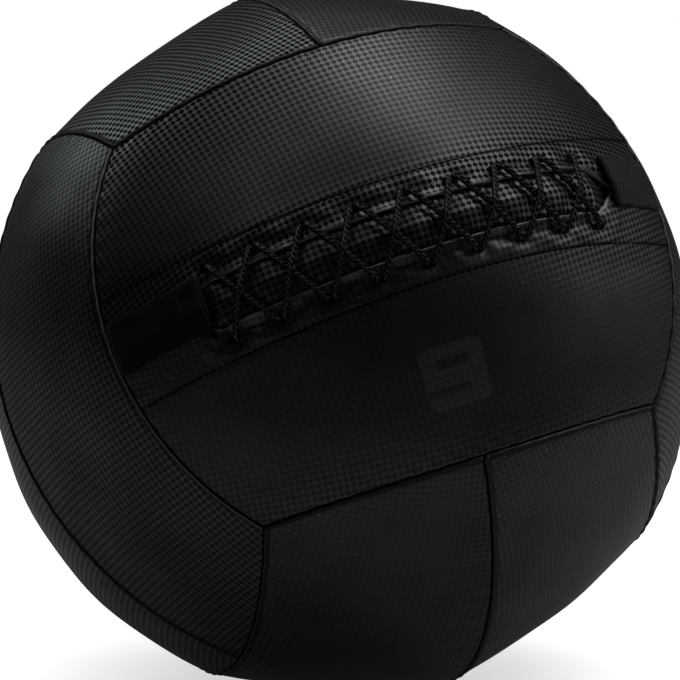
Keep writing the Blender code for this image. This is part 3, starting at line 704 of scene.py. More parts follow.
def flap_edge_height(along, across):
    """The drawn edge of a flap between two holes: a lip right at the gap, a bell across that follows the
    square of a sine along the lacing, and a dent behind it, a bell both ways. A slower sine makes no two
    equally high. Past the last hole the edge dives under the tab."""
    side = np.abs(across)
    between = np.sin(np.pi * (along - HOLE_PLACES[0]) / HOLE_PITCH) ** 2
    within = np.clip((LAST_HOLE + LIP_FADE / 2 - np.abs(along)) / LIP_FADE, 0, 1)
    number = np.floor((along - HOLE_PLACES[0]) / HOLE_PITCH)
    wave = np.sin(2.4 * number + np.where(across > 0, 0.0, 1.7))
    uneven = (1 + LEAST_LIP + (1 - LEAST_LIP) * wave) / 2
    from_edge = np.maximum(side - half_gap(along), 0)
    lip = np.where(across > 0, UPPER_LIP_HEIGHT, LOWER_LIP_HEIGHT) * np.exp(-(from_edge / LIP_WIDTH) ** 2)
    nearest = number * HOLE_PITCH + HOLE_PLACES[0] + HOLE_PITCH / 2
    x, y = (along - nearest) / DENT_RADII[0], (side - DENT_PLACE) / DENT_RADII[1]
    dent = DENT_DEPTH * np.exp(-x ** 2 - y ** 2)
    dive = END_DIVE * (1 - within) * np.exp(-(from_edge / (3 * LIP_WIDTH)) ** 2)
    dive = dive * np.clip((LAST_HOLE + GAP_RUNOUT - np.abs(along)) / DIVE_FADE, 0, 1)
    return (lip * between - dent) * within * uneven - dive


def closure_height(along, across):
    """Height that the closure adds to the leatherette: a swelling away from the arms and small folds,
    both fading towards the stitch line, less a bell-shaped sink round each hole and the crease of the
    stitch line, and the drawn edge on top."""
    away = arm_distance(along, across)
    side = np.abs(across)
    fade = np.clip((FACING_DEPTH - side) / SWELL_FADE, 0, 1)
    fade = fade * np.clip((LAST_HOLE + SWELL_END[0] - np.abs(along)) / SWELL_END[1], 0, 1)
    swell = FLAP_SWELL * (1 - np.exp(-(away / ARM_REACH) ** 2)) * fade
    from_rim = np.maximum(hole_share(along, across) - 1, 0) * HOLE_WIDTH / 2
    sink = HOLE_SINK * np.exp(-(from_rim / HOLE_SINK_RADIUS) ** 2)
    crease = CREASE_DEPTH * np.exp(-((side - FACING_DEPTH) / CREASE_WIDTH) ** 2)
    folds = np.where(across > 0, *PULLED_FOLDS) * small_folds(along, across, 11) * fade
    return swell + folds - sink - crease + flap_edge_height(along, across)


LEAST_SHARE = 0.2


def snapped_to_holes(along, across):
    """Moves the grid points next to a hole's rim onto the rim, by dividing their offset from the hole's
    middle by their hole_share, and tells which cells stay outside."""
    share = hole_share(along, across)
    middle_along = (along[:-1, :-1] + along[1:, 1:]) / 2
    middle_across = (across[:-1, :-1] + across[1:, 1:]) / 2
    inside = hole_share(middle_along, middle_across) < 1
    touches_in = np.zeros(share.shape, bool)
    touches_out = np.zeros(share.shape, bool)
    for i in (0, 1):
        for j in (0, 1):
            rows, columns = slice(i, share.shape[0] - 1 + i), slice(j, share.shape[1] - 1 + j)
            touches_in[rows, columns] |= inside
            touches_out[rows, columns] |= ~inside
    rim = touches_in & touches_out
    nearest = np.round(along / HOLE_PITCH) * HOLE_PITCH
    row = np.sign(across) * HOLE_ROW_OFFSET
    stretch = np.where(rim, 1 / np.maximum(share, LEAST_SHARE), 1)
    along = nearest + (along - nearest) * stretch
    across = row + (across - row) * stretch
    return along, across, ~inside


# %% [markdown]
# ## Unrolling a strip
# The checker was pressed into the flat leatherette before it was cut, so it has to follow the cloth. Each
# strip is unrolled about its own middle: a point keeps its distance and its direction from there, which
# stretches the pattern as little as a ball allows. The result is the strip's UV map, in metres.


# %% Unrolled places
def unrolled(directions, middle, along):
    """Flat coordinates: the angle from the middle times the radius, split along two tangents."""
    middle = middle / np.linalg.norm(middle)
    along = along - (along @ middle) * middle
    along = along / np.linalg.norm(along)
    across = np.cross(middle, along)
    cosine = np.clip(directions @ middle, -1, 1)
    angle = np.arccos(cosine)
    scale = BALL_RADIUS * angle / np.maximum(np.sin(angle), 1e-6)
    return np.stack([scale * (directions @ along), scale * (directions @ across)], axis=-1)


def strip_uv(place, directions):
    """The unrolled places of a strip, about its middle and along its face's own axis."""
    strip = STRIPS[place]
    middle = strip_directions(dict(strip, laced=False), np.array([0.5]), np.array([0.5]))[0]
    axis = np.eye(3)[FACES[strip["face"]][1]]
    return unrolled(directions, middle, axis)


# %% [markdown]
# ## Building the strips
# The grid of a strip is close together near its edges, where the fold and the ridge are, and wider
# inside. The two laced strips are also fine over the closure, where the holes are cut.

# %% Steps over a strip
EDGE_STEPS = SEAM_CLEARANCE / 2 + np.array([
    0.0, 0.0002, 0.0005, 0.0009, 0.0014, 0.0017, 0.002, 0.0023, 0.0026, 0.0029, 0.0034, 0.0045,
])
INNER_STEP = 0.0022
CLOSURE_STEP = 0.0008
LIP_STEP = 0.00075
CREASE_REACH = 0.0014
CREASE_ROWS = 11
FIRST_FAR_STEP = 0.0015
SIDE_ROWS = 24


def shares_with_edges(length, step):
    """Shares of a length: fine steps at both ends and even ones between."""
    ends = EDGE_STEPS / length
    count = int(round((length - 2 * EDGE_STEPS[-1]) / step))
    return np.concatenate([ends[:-1], np.linspace(ends[-1], 1 - ends[-1], count + 1), 1 - ends[-2::-1]])


def laced_shares(length, width):
    """The same for a laced strip: even fine steps along and across the closure, and the finest ones
    over the crease of the stitch line."""
    reach = (LAST_HOLE + GAP_RUNOUT) / length
    ends = EDGE_STEPS / length
    sides = np.linspace(ends[-1], 0.5 - reach, SIDE_ROWS)
    middle = np.linspace(0.5 - reach, 0.5 + reach, int(2 * reach * length / CLOSURE_STEP))
    along = np.concatenate([ends[:-1], sides[:-1], middle, 1 - sides[-2::-1], 1 - ends[-2::-1]])
    crease = FACING_DEPTH - FLAP_GAP / 2
    near = np.concatenate([
        EDGE_STEPS[:6], np.arange(2 * LIP_WIDTH, crease - CREASE_REACH, LIP_STEP),
        np.linspace(crease - CREASE_REACH, crease + CREASE_REACH, CREASE_ROWS),
    ]) / width
    ends = EDGE_STEPS / width
    first_far = near[-1] + FIRST_FAR_STEP / width
    far = np.linspace(first_far, 1 - ends[-1], int(round((width - crease) / INNER_STEP)))
    return along, np.concatenate([near, far, 1 - ends[-2::-1]])


def edge_distances(points):
    """Metres to the four edges of a grid, by adding up the steps along its rows and columns."""
    along = np.linalg.norm(np.diff(points, axis=0), axis=-1)
    along = np.concatenate([np.zeros((1, points.shape[1])), np.cumsum(along, axis=0)])
    across = np.linalg.norm(np.diff(points, axis=1), axis=-1)
    across = np.concatenate([np.zeros((points.shape[0], 1)), np.cumsum(across, axis=1)], axis=1)
    return {"start": along, "end": along[-1] - along, "middle": across, "long": across[:, -1:] - across}


# %% Swells and puckers
SWELL_HEIGHT = 0.0032
SWELL_WAVES = 6
SWELL_RANGE = (9, 26)
SWELL_EDGE = 0.02
PUCKER_HEIGHT = 0.00022
PUCKER_PITCH = 0.0115
PUCKER_REACH = 0.007


def unevenness(directions, seed):
    """Slow swells of the filled cover: the sum of a few sine waves in fixed, unlike directions, each
    divided by how many radians it turns over one radius."""
    chance = np.random.default_rng(seed)
    total = np.zeros(directions.shape[:-1])
    for _ in range(SWELL_WAVES):
        heading = chance.normal(size=3)
        heading = heading / np.linalg.norm(heading)
        waves = chance.uniform(*SWELL_RANGE)
        total += np.sin(waves * (directions @ heading) + chance.uniform(0, 2 * np.pi)) / waves
    return total


def puckers(distances, laced, seed):
    """Small waves along each sewn edge, that die away exponentially with the distance from it."""
    total = 0
    for edge, distance in distances.items():
        travel = distances["start" if edge in ("middle", "long") else "middle"]
        if not (laced and edge == "middle"):
            wave = np.sin(2 * np.pi * travel / PUCKER_PITCH + seed)
            total = total + PUCKER_HEIGHT * wave * np.exp(-distance / PUCKER_REACH)
    return total


# %% [markdown]
# Every point of a strip carries three marks for the leatherette: how far it is rubbed, whether it is sewn
# down, and whether it is a turned edge that gleams.

# %% Where a strip is rubbed
CRISPNESS = {
    "top_left": 1.0, "top_right": 0.45, "front_upper": 0.5, "left_front": 0.6, "right_front": 0.5,
    "front_lower": 0.1, "bottom_left": 0.12, "bottom_right": 0.15,
}
USUAL_CRISPNESS = 0.5
EDGE_CRISPNESS = 0.35
EDGE_REACH = 0.018
FLAP_CRISPNESS = {"front_upper": (0.9, 1.0), "front_lower": (0.25, 0.8)}
FLAP_FADE = (0.007, 0.028)
RIGHT_PART = (0.03, 0.05)
CORNER_CRISPNESS = {"front_upper": 1.0, "front_lower": 0.25}
CORNER_REACH = 0.045
CORNER_LENGTH = 0.2


def rubbed_mark(place, nearest):
    crispness = CRISPNESS.get(place, USUAL_CRISPNESS)
    return (1 - crispness) * (1 - EDGE_CRISPNESS * np.exp(-nearest / EDGE_REACH))


def crisp_closure(place, along, across, to_seam):
    """The share of rubbing that is left on a laced strip: least on the drawn flap, and past the stitch
    line it comes back over a width that grows to the right. Towards the left end of the long seam it
    falls again, as a bell over the distance to that seam."""
    to_right = np.clip((along - RIGHT_PART[0]) / RIGHT_PART[1], 0, 1)
    past_line = np.maximum(np.abs(across) - FACING_DEPTH, 0) / (FLAP_FADE[0] + FLAP_FADE[1] * to_right)
    at_left, at_right = FLAP_CRISPNESS[place]
    flap = np.clip(1 - past_line, 0, 1) * (at_left + (at_right - at_left) * to_right)
    to_corner = np.clip(0.5 - along / CORNER_LENGTH, 0, 1) * np.exp(-(to_seam / CORNER_REACH) ** 2)
    return (1 - flap) * (1 - CORNER_CRISPNESS[place] * to_corner)


# %% Sewn and turned marks
EDGE_GLEAM = {"left_front": 1.0, "right_front": 0.6}
USUAL_GLEAM = 0.25
GLEAM_PLACE = 0.0008
GLEAM_WIDTH = 0.0005


def sewn_line(across):
    """A bell over the long stitch line, half as wide again as its crease."""
    return np.exp(-((np.abs(across) - FACING_DEPTH) / (1.5 * CREASE_WIDTH)) ** 2)


def sewn_edge(distance):
    """Full as far as the row of stitches, and gone one valley's width past it."""
    return np.clip((STITCH_INSET + VALLEY_WIDTH - distance) / VALLEY_WIDTH, 0, 1)


def ridge_gleam(place, distance):
    """The outer shoulder of a ridge gleams, as a narrow bell over the distance from the edge. The mark
    puts coat there and, where it comes near 1, a highlight painted into the colour.
    """
    return EDGE_GLEAM.get(place, USUAL_GLEAM) * np.exp(-((distance - GLEAM_PLACE) / GLEAM_WIDTH) ** 2)


# %% One strip
CLOSURE_REACH = 0.012
CLOSURE_FADE = 0.01


def strip_shares(place):
    """Shares along and across a strip, from its length and its width over the ball."""
    strip = STRIPS[place]
    normal, _, across_axis = FACES[strip["face"]]
    length = 2 * BALL_RADIUS * math.acos(SEAM_MIDDLE[normal])
    width = STRIP_WIDTHS[across_axis]
    if strip["laced"]:
        return laced_shares(length, width - FLAP_GAP / 2)
    return shares_with_edges(length, INNER_STEP), shares_with_edges(width, INNER_STEP)


def add_strip(place, seed):
    """One strip: the folds, ridges and puckers of its edges on top of the ball's relief. Near the lacing
    the slow swells give way to the closure's own relief."""
    strip = STRIPS[place]
    u, v = strip_shares(place)
    directions = strip_directions(strip, *np.broadcast_arrays(u[:, None], v[None, :]))
    distances = edge_distances(directions * BALL_RADIUS)
    nearest = np.minimum.reduce(list(distances.values()))
    height = SWELL_HEIGHT * unevenness(directions, seed) * np.clip(nearest / SWELL_EDGE, 0, 1)
    sewn, turned = np.zeros(height.shape), np.zeros(height.shape)
    rubbed = rubbed_mark(place, nearest)
    keep = None
    if strip["laced"]:
        along, across = laced_place(directions)
        along, across, keep = snapped_to_holes(along, across)
        directions = laced_direction(along, across)
        shown = np.clip((FACING_DEPTH + CLOSURE_REACH - np.abs(across)) / CLOSURE_FADE, 0, 1)
        height = height * (1 - shown) + closure_height(along, across)
        sewn = sewn_line(across)
        rubbed = rubbed * crisp_closure(place, along, across, distances["long"])
    height = height + puckers(distances, strip["laced"], seed)
    inner = height - PANEL_THICKNESS
    for edge, distance in distances.items():
        if strip["laced"] and edge == "middle":
            rounding = fold(distance, PANEL_THICKNESS / 2)
            height, inner = height - rounding, inner + rounding
            # the flap's turned edge also gets the painted fold highlight
            turned = np.clip(1 - distance / (2 * LIP_WIDTH), 0, 1)
        else:
            height = height - fold(distance)
        if edge in ridged(place):
            height = height + ridge(distance)
            sewn = np.maximum(sewn, sewn_edge(distance))
            turned = np.maximum(turned, ridge_gleam(place, distance))
    outer, inner = on_ball(directions, height), on_ball(directions, inner)
    marks = {"sewn": sewn, "turned": turned, "rubbed": rubbed}
    return sheet_piece(
        place + "_cover", outer, inner, strip_uv(place, directions), keep, marks,
        material=STRIP_LEATHERETTE, slot="leatherette", stands_for=(place + "_panel",),
    )


covers = {place: add_strip(place, seed) for seed, place in enumerate(STRIPS)}
for place, cover in covers.items():
    print(f"{cover.name}: {len(cover.data.polygons)} cells")

# %% [markdown]
# ## Facings and tongue
# Behind each flap the leatherette is turned in and held by the stitch line. Behind the gap lies the
# tongue, a softer strip that the filling presses up between the arms of the lace into a row of lobes.
# Cloth simulation could press it up too, but a height over the distance to the nearest arm keeps every
# lobe exactly between its arms, and it is worked out at once whenever the scene is built.

# %% Facings
FACING_STEP = 0.0008
FACING_ROWS = 24


def add_facing(place, side):
    """A sheet behind the flap, from just behind its edge to the stitch line, with the same holes."""
    half_length = LAST_HOLE + FACING_RUNOUT
    along = np.linspace(-half_length, half_length, int(2 * half_length / FACING_STEP))[:, None]
    share = np.linspace(0, 1, FACING_ROWS)[None, :]
    near = half_gap(along) + SEAM_CLEARANCE
    across = side * (near + (FACING_DEPTH - near) * share)
    along = np.broadcast_to(along, across.shape)
    along, across, keep = snapped_to_holes(along, across)
    rise = closure_height(along, across)
    rounding = fold((FACING_DEPTH - near) * share, FACING_THICKNESS / 2)
    outer = laced_point(along, across, rise - FACING_TOP - rounding)
    inner = laced_point(along, across, rise - FACING_BOTTOM + rounding)
    uv = np.stack([along, across], axis=-1)
    return sheet_piece(
        place + "_turned_facing", outer, inner, uv, keep,
        material=FACING_LEATHERETTE, slot="leatherette", stands_for=(place + "_flap_facing",),
    )


facings = [add_facing("upper", 1), add_facing("lower", -1)]

# %% Tongue
LOBE_TOP = 0.0004
LOBE_REACH = 0.0052
ARM_PRESS = 0.36
TONGUE_STEP = 0.0007
TONGUE_COLUMNS = 53
TONGUE_FOLDS = 0.0002
TONGUE_RAMP = (1.0, 0.10)
TONGUE_CRISPNESS = (0.8, 1.0)
TONGUE_SHOULDER = 16
LEAST_GAP = 0.002
LAST_LOBES = (0.5, 1.0)


def tongue_height(along, across):
    """Low under the flaps, and up to the top of a lobe between the arms: the lobe's share is
    1 - press exp(-(d / reach)^2) for the distance d from the nearest arm, times the gap's opening. Across
    the gap it rises at once, as 1 - (2t - 1)^16, and falls by a tenth from the lower flap to the upper
    one. Past the last hole the right end sinks away and the left end sinks by half."""
    gap = np.maximum(half_gap(along), LEAST_GAP)
    opening = half_gap(along) / (FLAP_GAP / 2)
    t = np.clip((across / gap + 1) / 2, 0, 1)
    across_gap = (1 - (2 * t - 1) ** TONGUE_SHOULDER) * (TONGUE_RAMP[0] - TONGUE_RAMP[1] * t)
    past_lacing = np.clip((np.abs(along) - LAST_HOLE) / (HOLE_PITCH / 2), 0, 1)
    share = 1 - ARM_PRESS * np.exp(-(arm_distance(along, across) / LOBE_REACH) ** 2)
    share = share * (1 - past_lacing * np.where(along > 0, LAST_LOBES[1], LAST_LOBES[0]))
    return -TONGUE_TOP + opening * across_gap * (TONGUE_TOP + LOBE_TOP) * share


def add_tongue():
    """The tongue as a closed sheet. Its pattern is laid out by the length over the lobes, not across
    them, because the cloth was flat before the filling pushed it up."""
    half_length = LAST_HOLE + TONGUE_RUNOUT
    along = np.linspace(-half_length, half_length, int(2 * half_length / TONGUE_STEP))[:, None]
    across = np.linspace(-TONGUE_WIDTH / 2, TONGUE_WIDTH / 2, TONGUE_COLUMNS)[None, :]
    along, across = np.broadcast_arrays(along, across)
    free = np.clip(1 - (across / np.maximum(half_gap(along), LEAST_GAP)) ** 2, 0, 1)
    height = tongue_height(along, across) + TONGUE_FOLDS * small_folds(along, across, 4) * free
    outer = laced_point(along, across, height)
    inner = laced_point(along, across, height - TONGUE_THICKNESS)
    steps = np.linalg.norm(np.diff(outer, axis=1), axis=-1)
    length = np.concatenate([np.zeros((len(outer), 1)), np.cumsum(steps, axis=1)], axis=1)
    length = length - length[:, TONGUE_COLUMNS // 2][:, None]
    crispness = np.interp(along, (-LAST_HOLE, LAST_HOLE), TONGUE_CRISPNESS)
    return sheet_piece(
        "tongue_strip", outer, inner, np.stack([along, length], axis=-1), marks={"rubbed": 1 - crispness},
        material=TONGUE_LEATHERETTE, slot="leatherette", stands_for=("closure_tongue",),
    )


tongue = add_tongue()
print("facings and tongue:", [len(piece.data.polygons) for piece in (*facings, tongue)], "cells")

# %% [markdown]
# ## The lace
# One round braided cord goes through all eighteen holes: out along the ball, and back over itself. Its
# route is the route of the solid, point by point. A smooth curve runs through those points, and a tube
# goes along the curve whose skin rises and falls as the eight strands of a braid cross each other. Eight
# real strands would be truer still, but they take many times the cells, on a cord only 3 mm thick.


# %% Route
def lace_arm(start, end, over):
    """One arm between a hole in each row: up and over the flap, across the gap, and down again."""
    start, end = np.array(start), np.array(end)
    heading = (end - start) / np.linalg.norm(end - start)
    top = LACE_RADIUS + LACE_GAP
    crossing = top - LACE_SAG + (LACE_DIAMETER + 2 * LACE_GAP if over else 0)
    bend = []
    for angle in np.radians([0, 45, 90]):
        out = LACE_BEND_RADIUS * (1 - math.cos(angle))
        bend.append((out, top - LACE_BEND_RADIUS * (1 - math.sin(angle))))
    leaving = [(*(start + heading * out), height) for out, height in bend]
    arriving = [(*(end - heading * out), height) for out, height in reversed(bend)]
    first, last = np.array(leaving[-1][:2]), np.array(arriving[0][:2])
    middle = []
    for share in (0.25, 0.5, 0.75):
        rise = (crossing - top) * math.sin(math.pi * share) ** 2
        middle.append((*(first + (last - first) * share), top + rise))
    return leaving + middle + arriving


def lace_rung(start, end, depth):
    """One run behind the tongue between the two rows, with a bend into each leg."""
    start, end = np.array(start), np.array(end)
    heading = (end - start) / np.linalg.norm(end - start)
    third = LACE_DIAMETER / 3
    bend = [(0, LACE_DIAMETER - depth), (third, third - depth), (LACE_DIAMETER, -depth)]
    down = [(*(start + heading * out), height) for out, height in bend]
    up = [(*(end - heading * out), height) for out, height in reversed(bend)]
    return down + [(*((start + end) / 2), -depth)] + up


def lace_route():
    """The whole lace: out to the right between the rows, and back over its own first pass."""

    def leg(index, row, side):
        return (HOLE_PLACES[index] + side * LEG_OFFSET, row * HOLE_ROW_OFFSET)

    last = HOLE_COUNT - 1
    stopper = FIRST_RUNG + LACE_RADIUS
    route = [(*leg(0, 1, 1), -stopper - LACE_DIAMETER), (*leg(0, 1, 1), -stopper)]
    for index in range(last):
        route += lace_arm(leg(index, 1, 1), leg(index + 1, -1, -1), over=False)
        side = -1 if index + 1 == last else 1
        route += lace_rung(leg(index + 1, -1, -1), leg(index + 1, 1, side), FIRST_RUNG)
    for index in range(last, 0, -1):
        route += lace_arm(leg(index, 1, -1), leg(index - 1, -1, 1), over=True)
        if index > 1:
            route += lace_rung(leg(index - 1, -1, 1), leg(index - 1, 1, -1), SECOND_RUNG)
    route += [(*leg(0, -1, 1), -stopper), (*leg(0, -1, 1), -stopper - LACE_DIAMETER)]
    return np.array(route)


# %% Smooth curve through the route
FINE_STEP = 0.00036
HIDDEN_STEP = 0.0012
PROBE_STEP = 0.0001


def smooth_curve(points, places):
    """A cubic through the points: Hermite pieces whose slopes are the differences of their neighbours,
    read at these distances along the chords."""
    chords = travelled(points)
    slopes = np.gradient(points, chords, axis=0)
    piece = np.clip(np.searchsorted(chords, places, side="right") - 1, 0, len(points) - 2)
    span = (chords[piece + 1] - chords[piece])[:, None]
    t = (places - chords[piece])[:, None] / span
    start, end = points[piece], points[piece + 1]
    return (
        (2 * t ** 3 - 3 * t ** 2 + 1) * start + (t ** 3 - 2 * t ** 2 + t) * span * slopes[piece]
        + (3 * t ** 2 - 2 * t ** 3) * end + (t ** 3 - t ** 2) * span * slopes[piece + 1]
    )


def lace_path():
    """World points along the lace, close together where it shows and wider behind the flaps."""
    route = lace_route()
    chords = travelled(route)
    probe = np.arange(0, chords[-1], PROBE_STEP)
    shown = np.interp(probe, chords, route[:, 2]) > -FACING_TOP
    density = np.where(shown, 1 / FINE_STEP, 1 / HIDDEN_STEP)
    count = np.concatenate([[0], np.cumsum(density[:-1] * PROBE_STEP)])
    places = np.interp(np.arange(0, count[-1]), count, probe)
    flat = smooth_curve(route, places)
    return laced_point(flat[:, 0], flat[:, 1], flat[:, 2])


# %% Braided cord
STRANDS = 8
BRAID_PITCH = 0.0125
STRAND_RELIEF = 0.00075
CREST_SHARE = 1.3
KNOT_INSET = 0.003
KNOT_SIZE = 0.0022
RIM_LEVEL = 0.42
RIM_FADE = 0.16
CORD_SIDES = 32


def tube_frames(path, across):
    """Two unit vectors square to the path at each point: the given direction made square to the path,
    and the cross product of the two."""
    tangent = np.gradient(path, axis=0)
    tangent = tangent / np.linalg.norm(tangent, axis=1, keepdims=True)
    side = across - (tangent @ across)[:, None] * tangent
    side = side / np.linalg.norm(side, axis=1, keepdims=True)
    return side, np.cross(tangent, side)


def braid_relief(travel, angle):
    """Height of a herringbone braid. Strands wind both ways, each passes over two and under two, and a
    strand on top is an arch along its two cells, cos(pi (t - 1/2)) to the power 0.6, and round across its
    width."""
    turns = angle / (2 * np.pi) * STRANDS / 2
    climb = travel / BRAID_PITCH * STRANDS / 2
    p, q = turns + climb, turns - climb
    relief = np.zeros(p.shape)
    for run, width, phase in ((q, p, 0), (p, q, 2)):
        t = np.mod(np.floor(width) + run + phase, 4) / 2
        arch = np.where(t < 1, np.cos(np.pi * (t - 0.5)), 0) ** 0.6
        across = 2 * np.mod(width, 1) - 1
        relief = np.maximum(relief, arch * np.sqrt(np.clip(1 - across ** 2, 0, 1)))
    return relief


def add_cord(name, path, across, radius, knots, **rest):
    """A braided tube along a path: radius times the circle, less the depth of the furrows, with a knot's
    bell-shaped swelling at each of the given distances. The mark rim is high in the furrows, where the
    lace's highlight is painted."""
    side, up = tube_frames(path, across)
    travel = travelled(path)
    angle = np.arange(CORD_SIDES) * 2 * np.pi / CORD_SIDES
    t, a = np.broadcast_arrays(travel[:, None], angle[None, :])
    relief = braid_relief(t, a)
    rim = np.clip((RIM_LEVEL - relief) / RIM_FADE, 0, 1)
    r = radius - STRAND_RELIEF * (1 - CREST_SHARE * relief)
    for place in knots:
        r = r + KNOT_SIZE * np.exp(-((t - place) / KNOT_SIZE) ** 2)
    ring = np.cos(a)[..., None] * side[:, None] + np.sin(a)[..., None] * up[:, None]
    points = path[:, None] + r[..., None] * ring
    points = np.concatenate([points.reshape(-1, 3), path[:1], path[-1:]])
    uv = np.stack([t, a * radius], axis=-1).reshape(-1, 2)
    uv = np.concatenate([uv, uv[:1], uv[-1:]])
    marks = {"rim": np.concatenate([rim.ravel(), [0, 0]])}
    return new_piece(name, points, tube_faces(len(path), CORD_SIDES), uv, marks, **rest)


# %% Lace material
FILAMENTS = 2600
FILAMENT_HEIGHT = 0.00006
CORD_CREST = (0.0008, 0.0008, 0.0009)
CORD_RIM_HIGHLIGHT = (0.17, 0.17, 0.17)


def cord_material():
    """Black polyester braid: almost black on the crest of a strand, with a pale highlight painted along
    its rims, in the furrows where the strands meet. A fine noise breaks both up."""
    material, tree, shader = new_material("braided lace", CORD_CREST, 0.42, 0.08)
    place = add_node(tree, "ShaderNodeTexCoord").outputs["Object"]
    filaments = add_node(tree, "ShaderNodeTexNoise", place)
    filaments.inputs["Scale"].default_value = FILAMENTS
    filaments.inputs["Detail"].default_value = 1.0
    link_bump(tree, shader, filaments.outputs[0], FILAMENT_HEIGHT)
    tree.links.new(maths(tree, "MULTIPLY_ADD", filaments.outputs[0], 0.3, 0.27), shader.inputs["Roughness"])
    share = maths(tree, "MULTIPLY", filaments.outputs[0], 1.6)
    broken = maths(tree, "MULTIPLY", read_mark(tree, "rim"), share, clamp=True)
    # painted highlight: the rims are painted pale where the mark rim is high
    painted_rim_highlight = mix_colour(tree, broken, (*CORD_CREST, 1), (*CORD_RIM_HIGHLIGHT, 1))
    tree.links.new(painted_rim_highlight, shader.inputs["Base Color"])
    return material


path = lace_path()
lace_length = float(travelled(path)[-1])
lace = add_cord(
    "braided_closure_lace", path, LIE @ np.array([1.0, 0, 0]), CORD_RADIUS,
    knots=(KNOT_INSET, lace_length - KNOT_INSET),
    material=cord_material(), slot="lace_cord", stands_for=("lace",),
)
print(f"lace: {lace_length:.3f} m long, {len(lace.data.polygons)} cells")

# %% [markdown]
# ## Webbing tabs
# A short piece of woven webbing covers each end of the closure. It is sewn into the side seam and its
# free end is turned under. Webbing is a twill: each thread passes over two and under two, one step
# further in each row, which draws fine slanting ribs. The ribs are a bump, because they stand little
# more than a millimetre apart, and the outline, the fold and the step over it are in the mesh.

# %% Tabs
TAB_WIDTH = 0.027
TAB_OFFSET = 0.003
TAB_THICKNESS = 0.0016
TAB_FOLD = 0.012
TAB_ROUNDING = 0.0006
LEFT_TAB_CLEARANCE = 0.0045
RIGHT_TAB_CLEARANCE = 0.0155
GROOVE_DEPTH = 0.0015
GROOVE_WIDTH = 0.0025
TWILL_PITCH = 0.0013
TWILL_RUN = 0.0029
TWILL_HEIGHT = 0.00015
TAB_EDGE_STEPS = np.array([0, 0.0004, 0.001, 0.0018])
TAB_END_STEPS = np.array([0, 0.0002, 0.0005, 0.001])
TAB_COLUMNS = 20
TAB_FOLD_ROWS = 10
TAB_ROWS = 26
TAB_STEP_WIDTH = 0.0004
TAB_UNDERCUT = 0.7
TAB_WAVE = 0.00025
TAB_WAVE_RATES = (260, 40)


def laced_face_end(across):
    """How far along the laced face its end seam lies, at a distance across the lacing."""
    rise = across / BALL_RADIUS
    seam = seam_coordinate(2, np.sin(rise) / CORNER[1])
    return BALL_RADIUS * np.arccos(seam / np.cos(rise))


def webbing_material(name, colour, roughness, specular):
    """Twill ribs slanting over the webbing as a bump, broken up by the threads that cross them. The
    grooves between the ribs are painted darker, a painted shade.
    """
    material, tree, shader = new_material(name, colour, roughness, specular)
    place = add_node(tree, "ShaderNodeUVMap", uv_map="weave").outputs[0]
    split = add_node(tree, "ShaderNodeSeparateXYZ", place)
    climb = maths(tree, "MULTIPLY", split.outputs[1], -2 * math.pi / TWILL_PITCH)
    rib = maths(tree, "SINE", maths(tree, "MULTIPLY_ADD", split.outputs[0], 2 * math.pi / TWILL_RUN, climb))
    thread = maths(tree, "SINE", maths(tree, "MULTIPLY", split.outputs[0], 4 * math.pi / TWILL_PITCH))
    link_bump(tree, shader, maths(tree, "MULTIPLY_ADD", thread, 0.35, rib), TWILL_HEIGHT)
    # painted shade: the low part of each rib is painted down to a twelfth of the colour
    share = maths(tree, "MULTIPLY_ADD", rib, 0.6, 0.4, clamp=True)
    dark = tuple(0.08 * value for value in colour)
    tree.links.new(mix_colour(tree, share, (*dark, 1), (*colour, 1)), shader.inputs["Base Color"])
    return material


def add_tab(name, end, clearance, node, material):
    """The tab as a closed sheet: doubled over its fold and single up to the seam. Its long edges and its
    free end are quarter circles, the step at the fold is a logistic curve and a slow sine wrinkles it."""
    inner_edge = np.linspace(TAB_EDGE_STEPS[-1], TAB_WIDTH - TAB_EDGE_STEPS[-1], TAB_COLUMNS)
    across = np.concatenate([TAB_EDGE_STEPS[:-1], inner_edge, TAB_WIDTH - TAB_EDGE_STEPS[-2::-1]])
    across = (across + TAB_OFFSET - TAB_WIDTH / 2)[None, :]
    free_end = LAST_HOLE + clearance
    length = laced_face_end(across) - SEAM_CLEARANCE - free_end
    fine = np.concatenate([TAB_END_STEPS, np.linspace(TAB_EDGE_STEPS[-1], TAB_FOLD, TAB_FOLD_ROWS)])
    fine = np.broadcast_to(fine[:, None], (len(fine), across.shape[1]))
    steps = np.linspace(0, 1, TAB_ROWS)[1:]
    travel = np.concatenate([fine, TAB_FOLD + (length - TAB_FOLD) * steps[:, None]])
    doubled = TAB_THICKNESS + LAYER_CLEARANCE
    full = TAB_THICKNESS + doubled / (1 + np.exp((travel - TAB_FOLD - TAB_THICKNESS) / TAB_STEP_WIDTH))
    sides = np.minimum(across - across.min(), across.max() - across)
    top = full - fold(travel, doubled) - fold(sides + 0 * travel, TAB_ROUNDING)
    bottom = np.where(travel < doubled, fold(travel, doubled) * TAB_UNDERCUT, 0)
    into_seam = GROOVE_DEPTH * np.clip(1 - (length - travel) / GROOVE_WIDTH, 0, 1)
    wave = TAB_WAVE * np.sin(TAB_WAVE_RATES[0] * travel + TAB_WAVE_RATES[1] * across)
    along = end * (free_end + travel)
    across = np.broadcast_to(across, along.shape)
    lift = LAYER_CLEARANCE + np.clip(closure_height(along, across), 0, None) - into_seam + wave
    outer, inner = laced_point(along, across, lift + top), laced_point(along, across, lift + bottom)
    uv = np.stack([along, across], axis=-1)
    return sheet_piece(name, outer, inner, uv, material=material, slot="webbing", stands_for=(node,))


right_webbing = webbing_material("grey-black webbing", (0.018, 0.018, 0.0183), 0.65, 0.2)
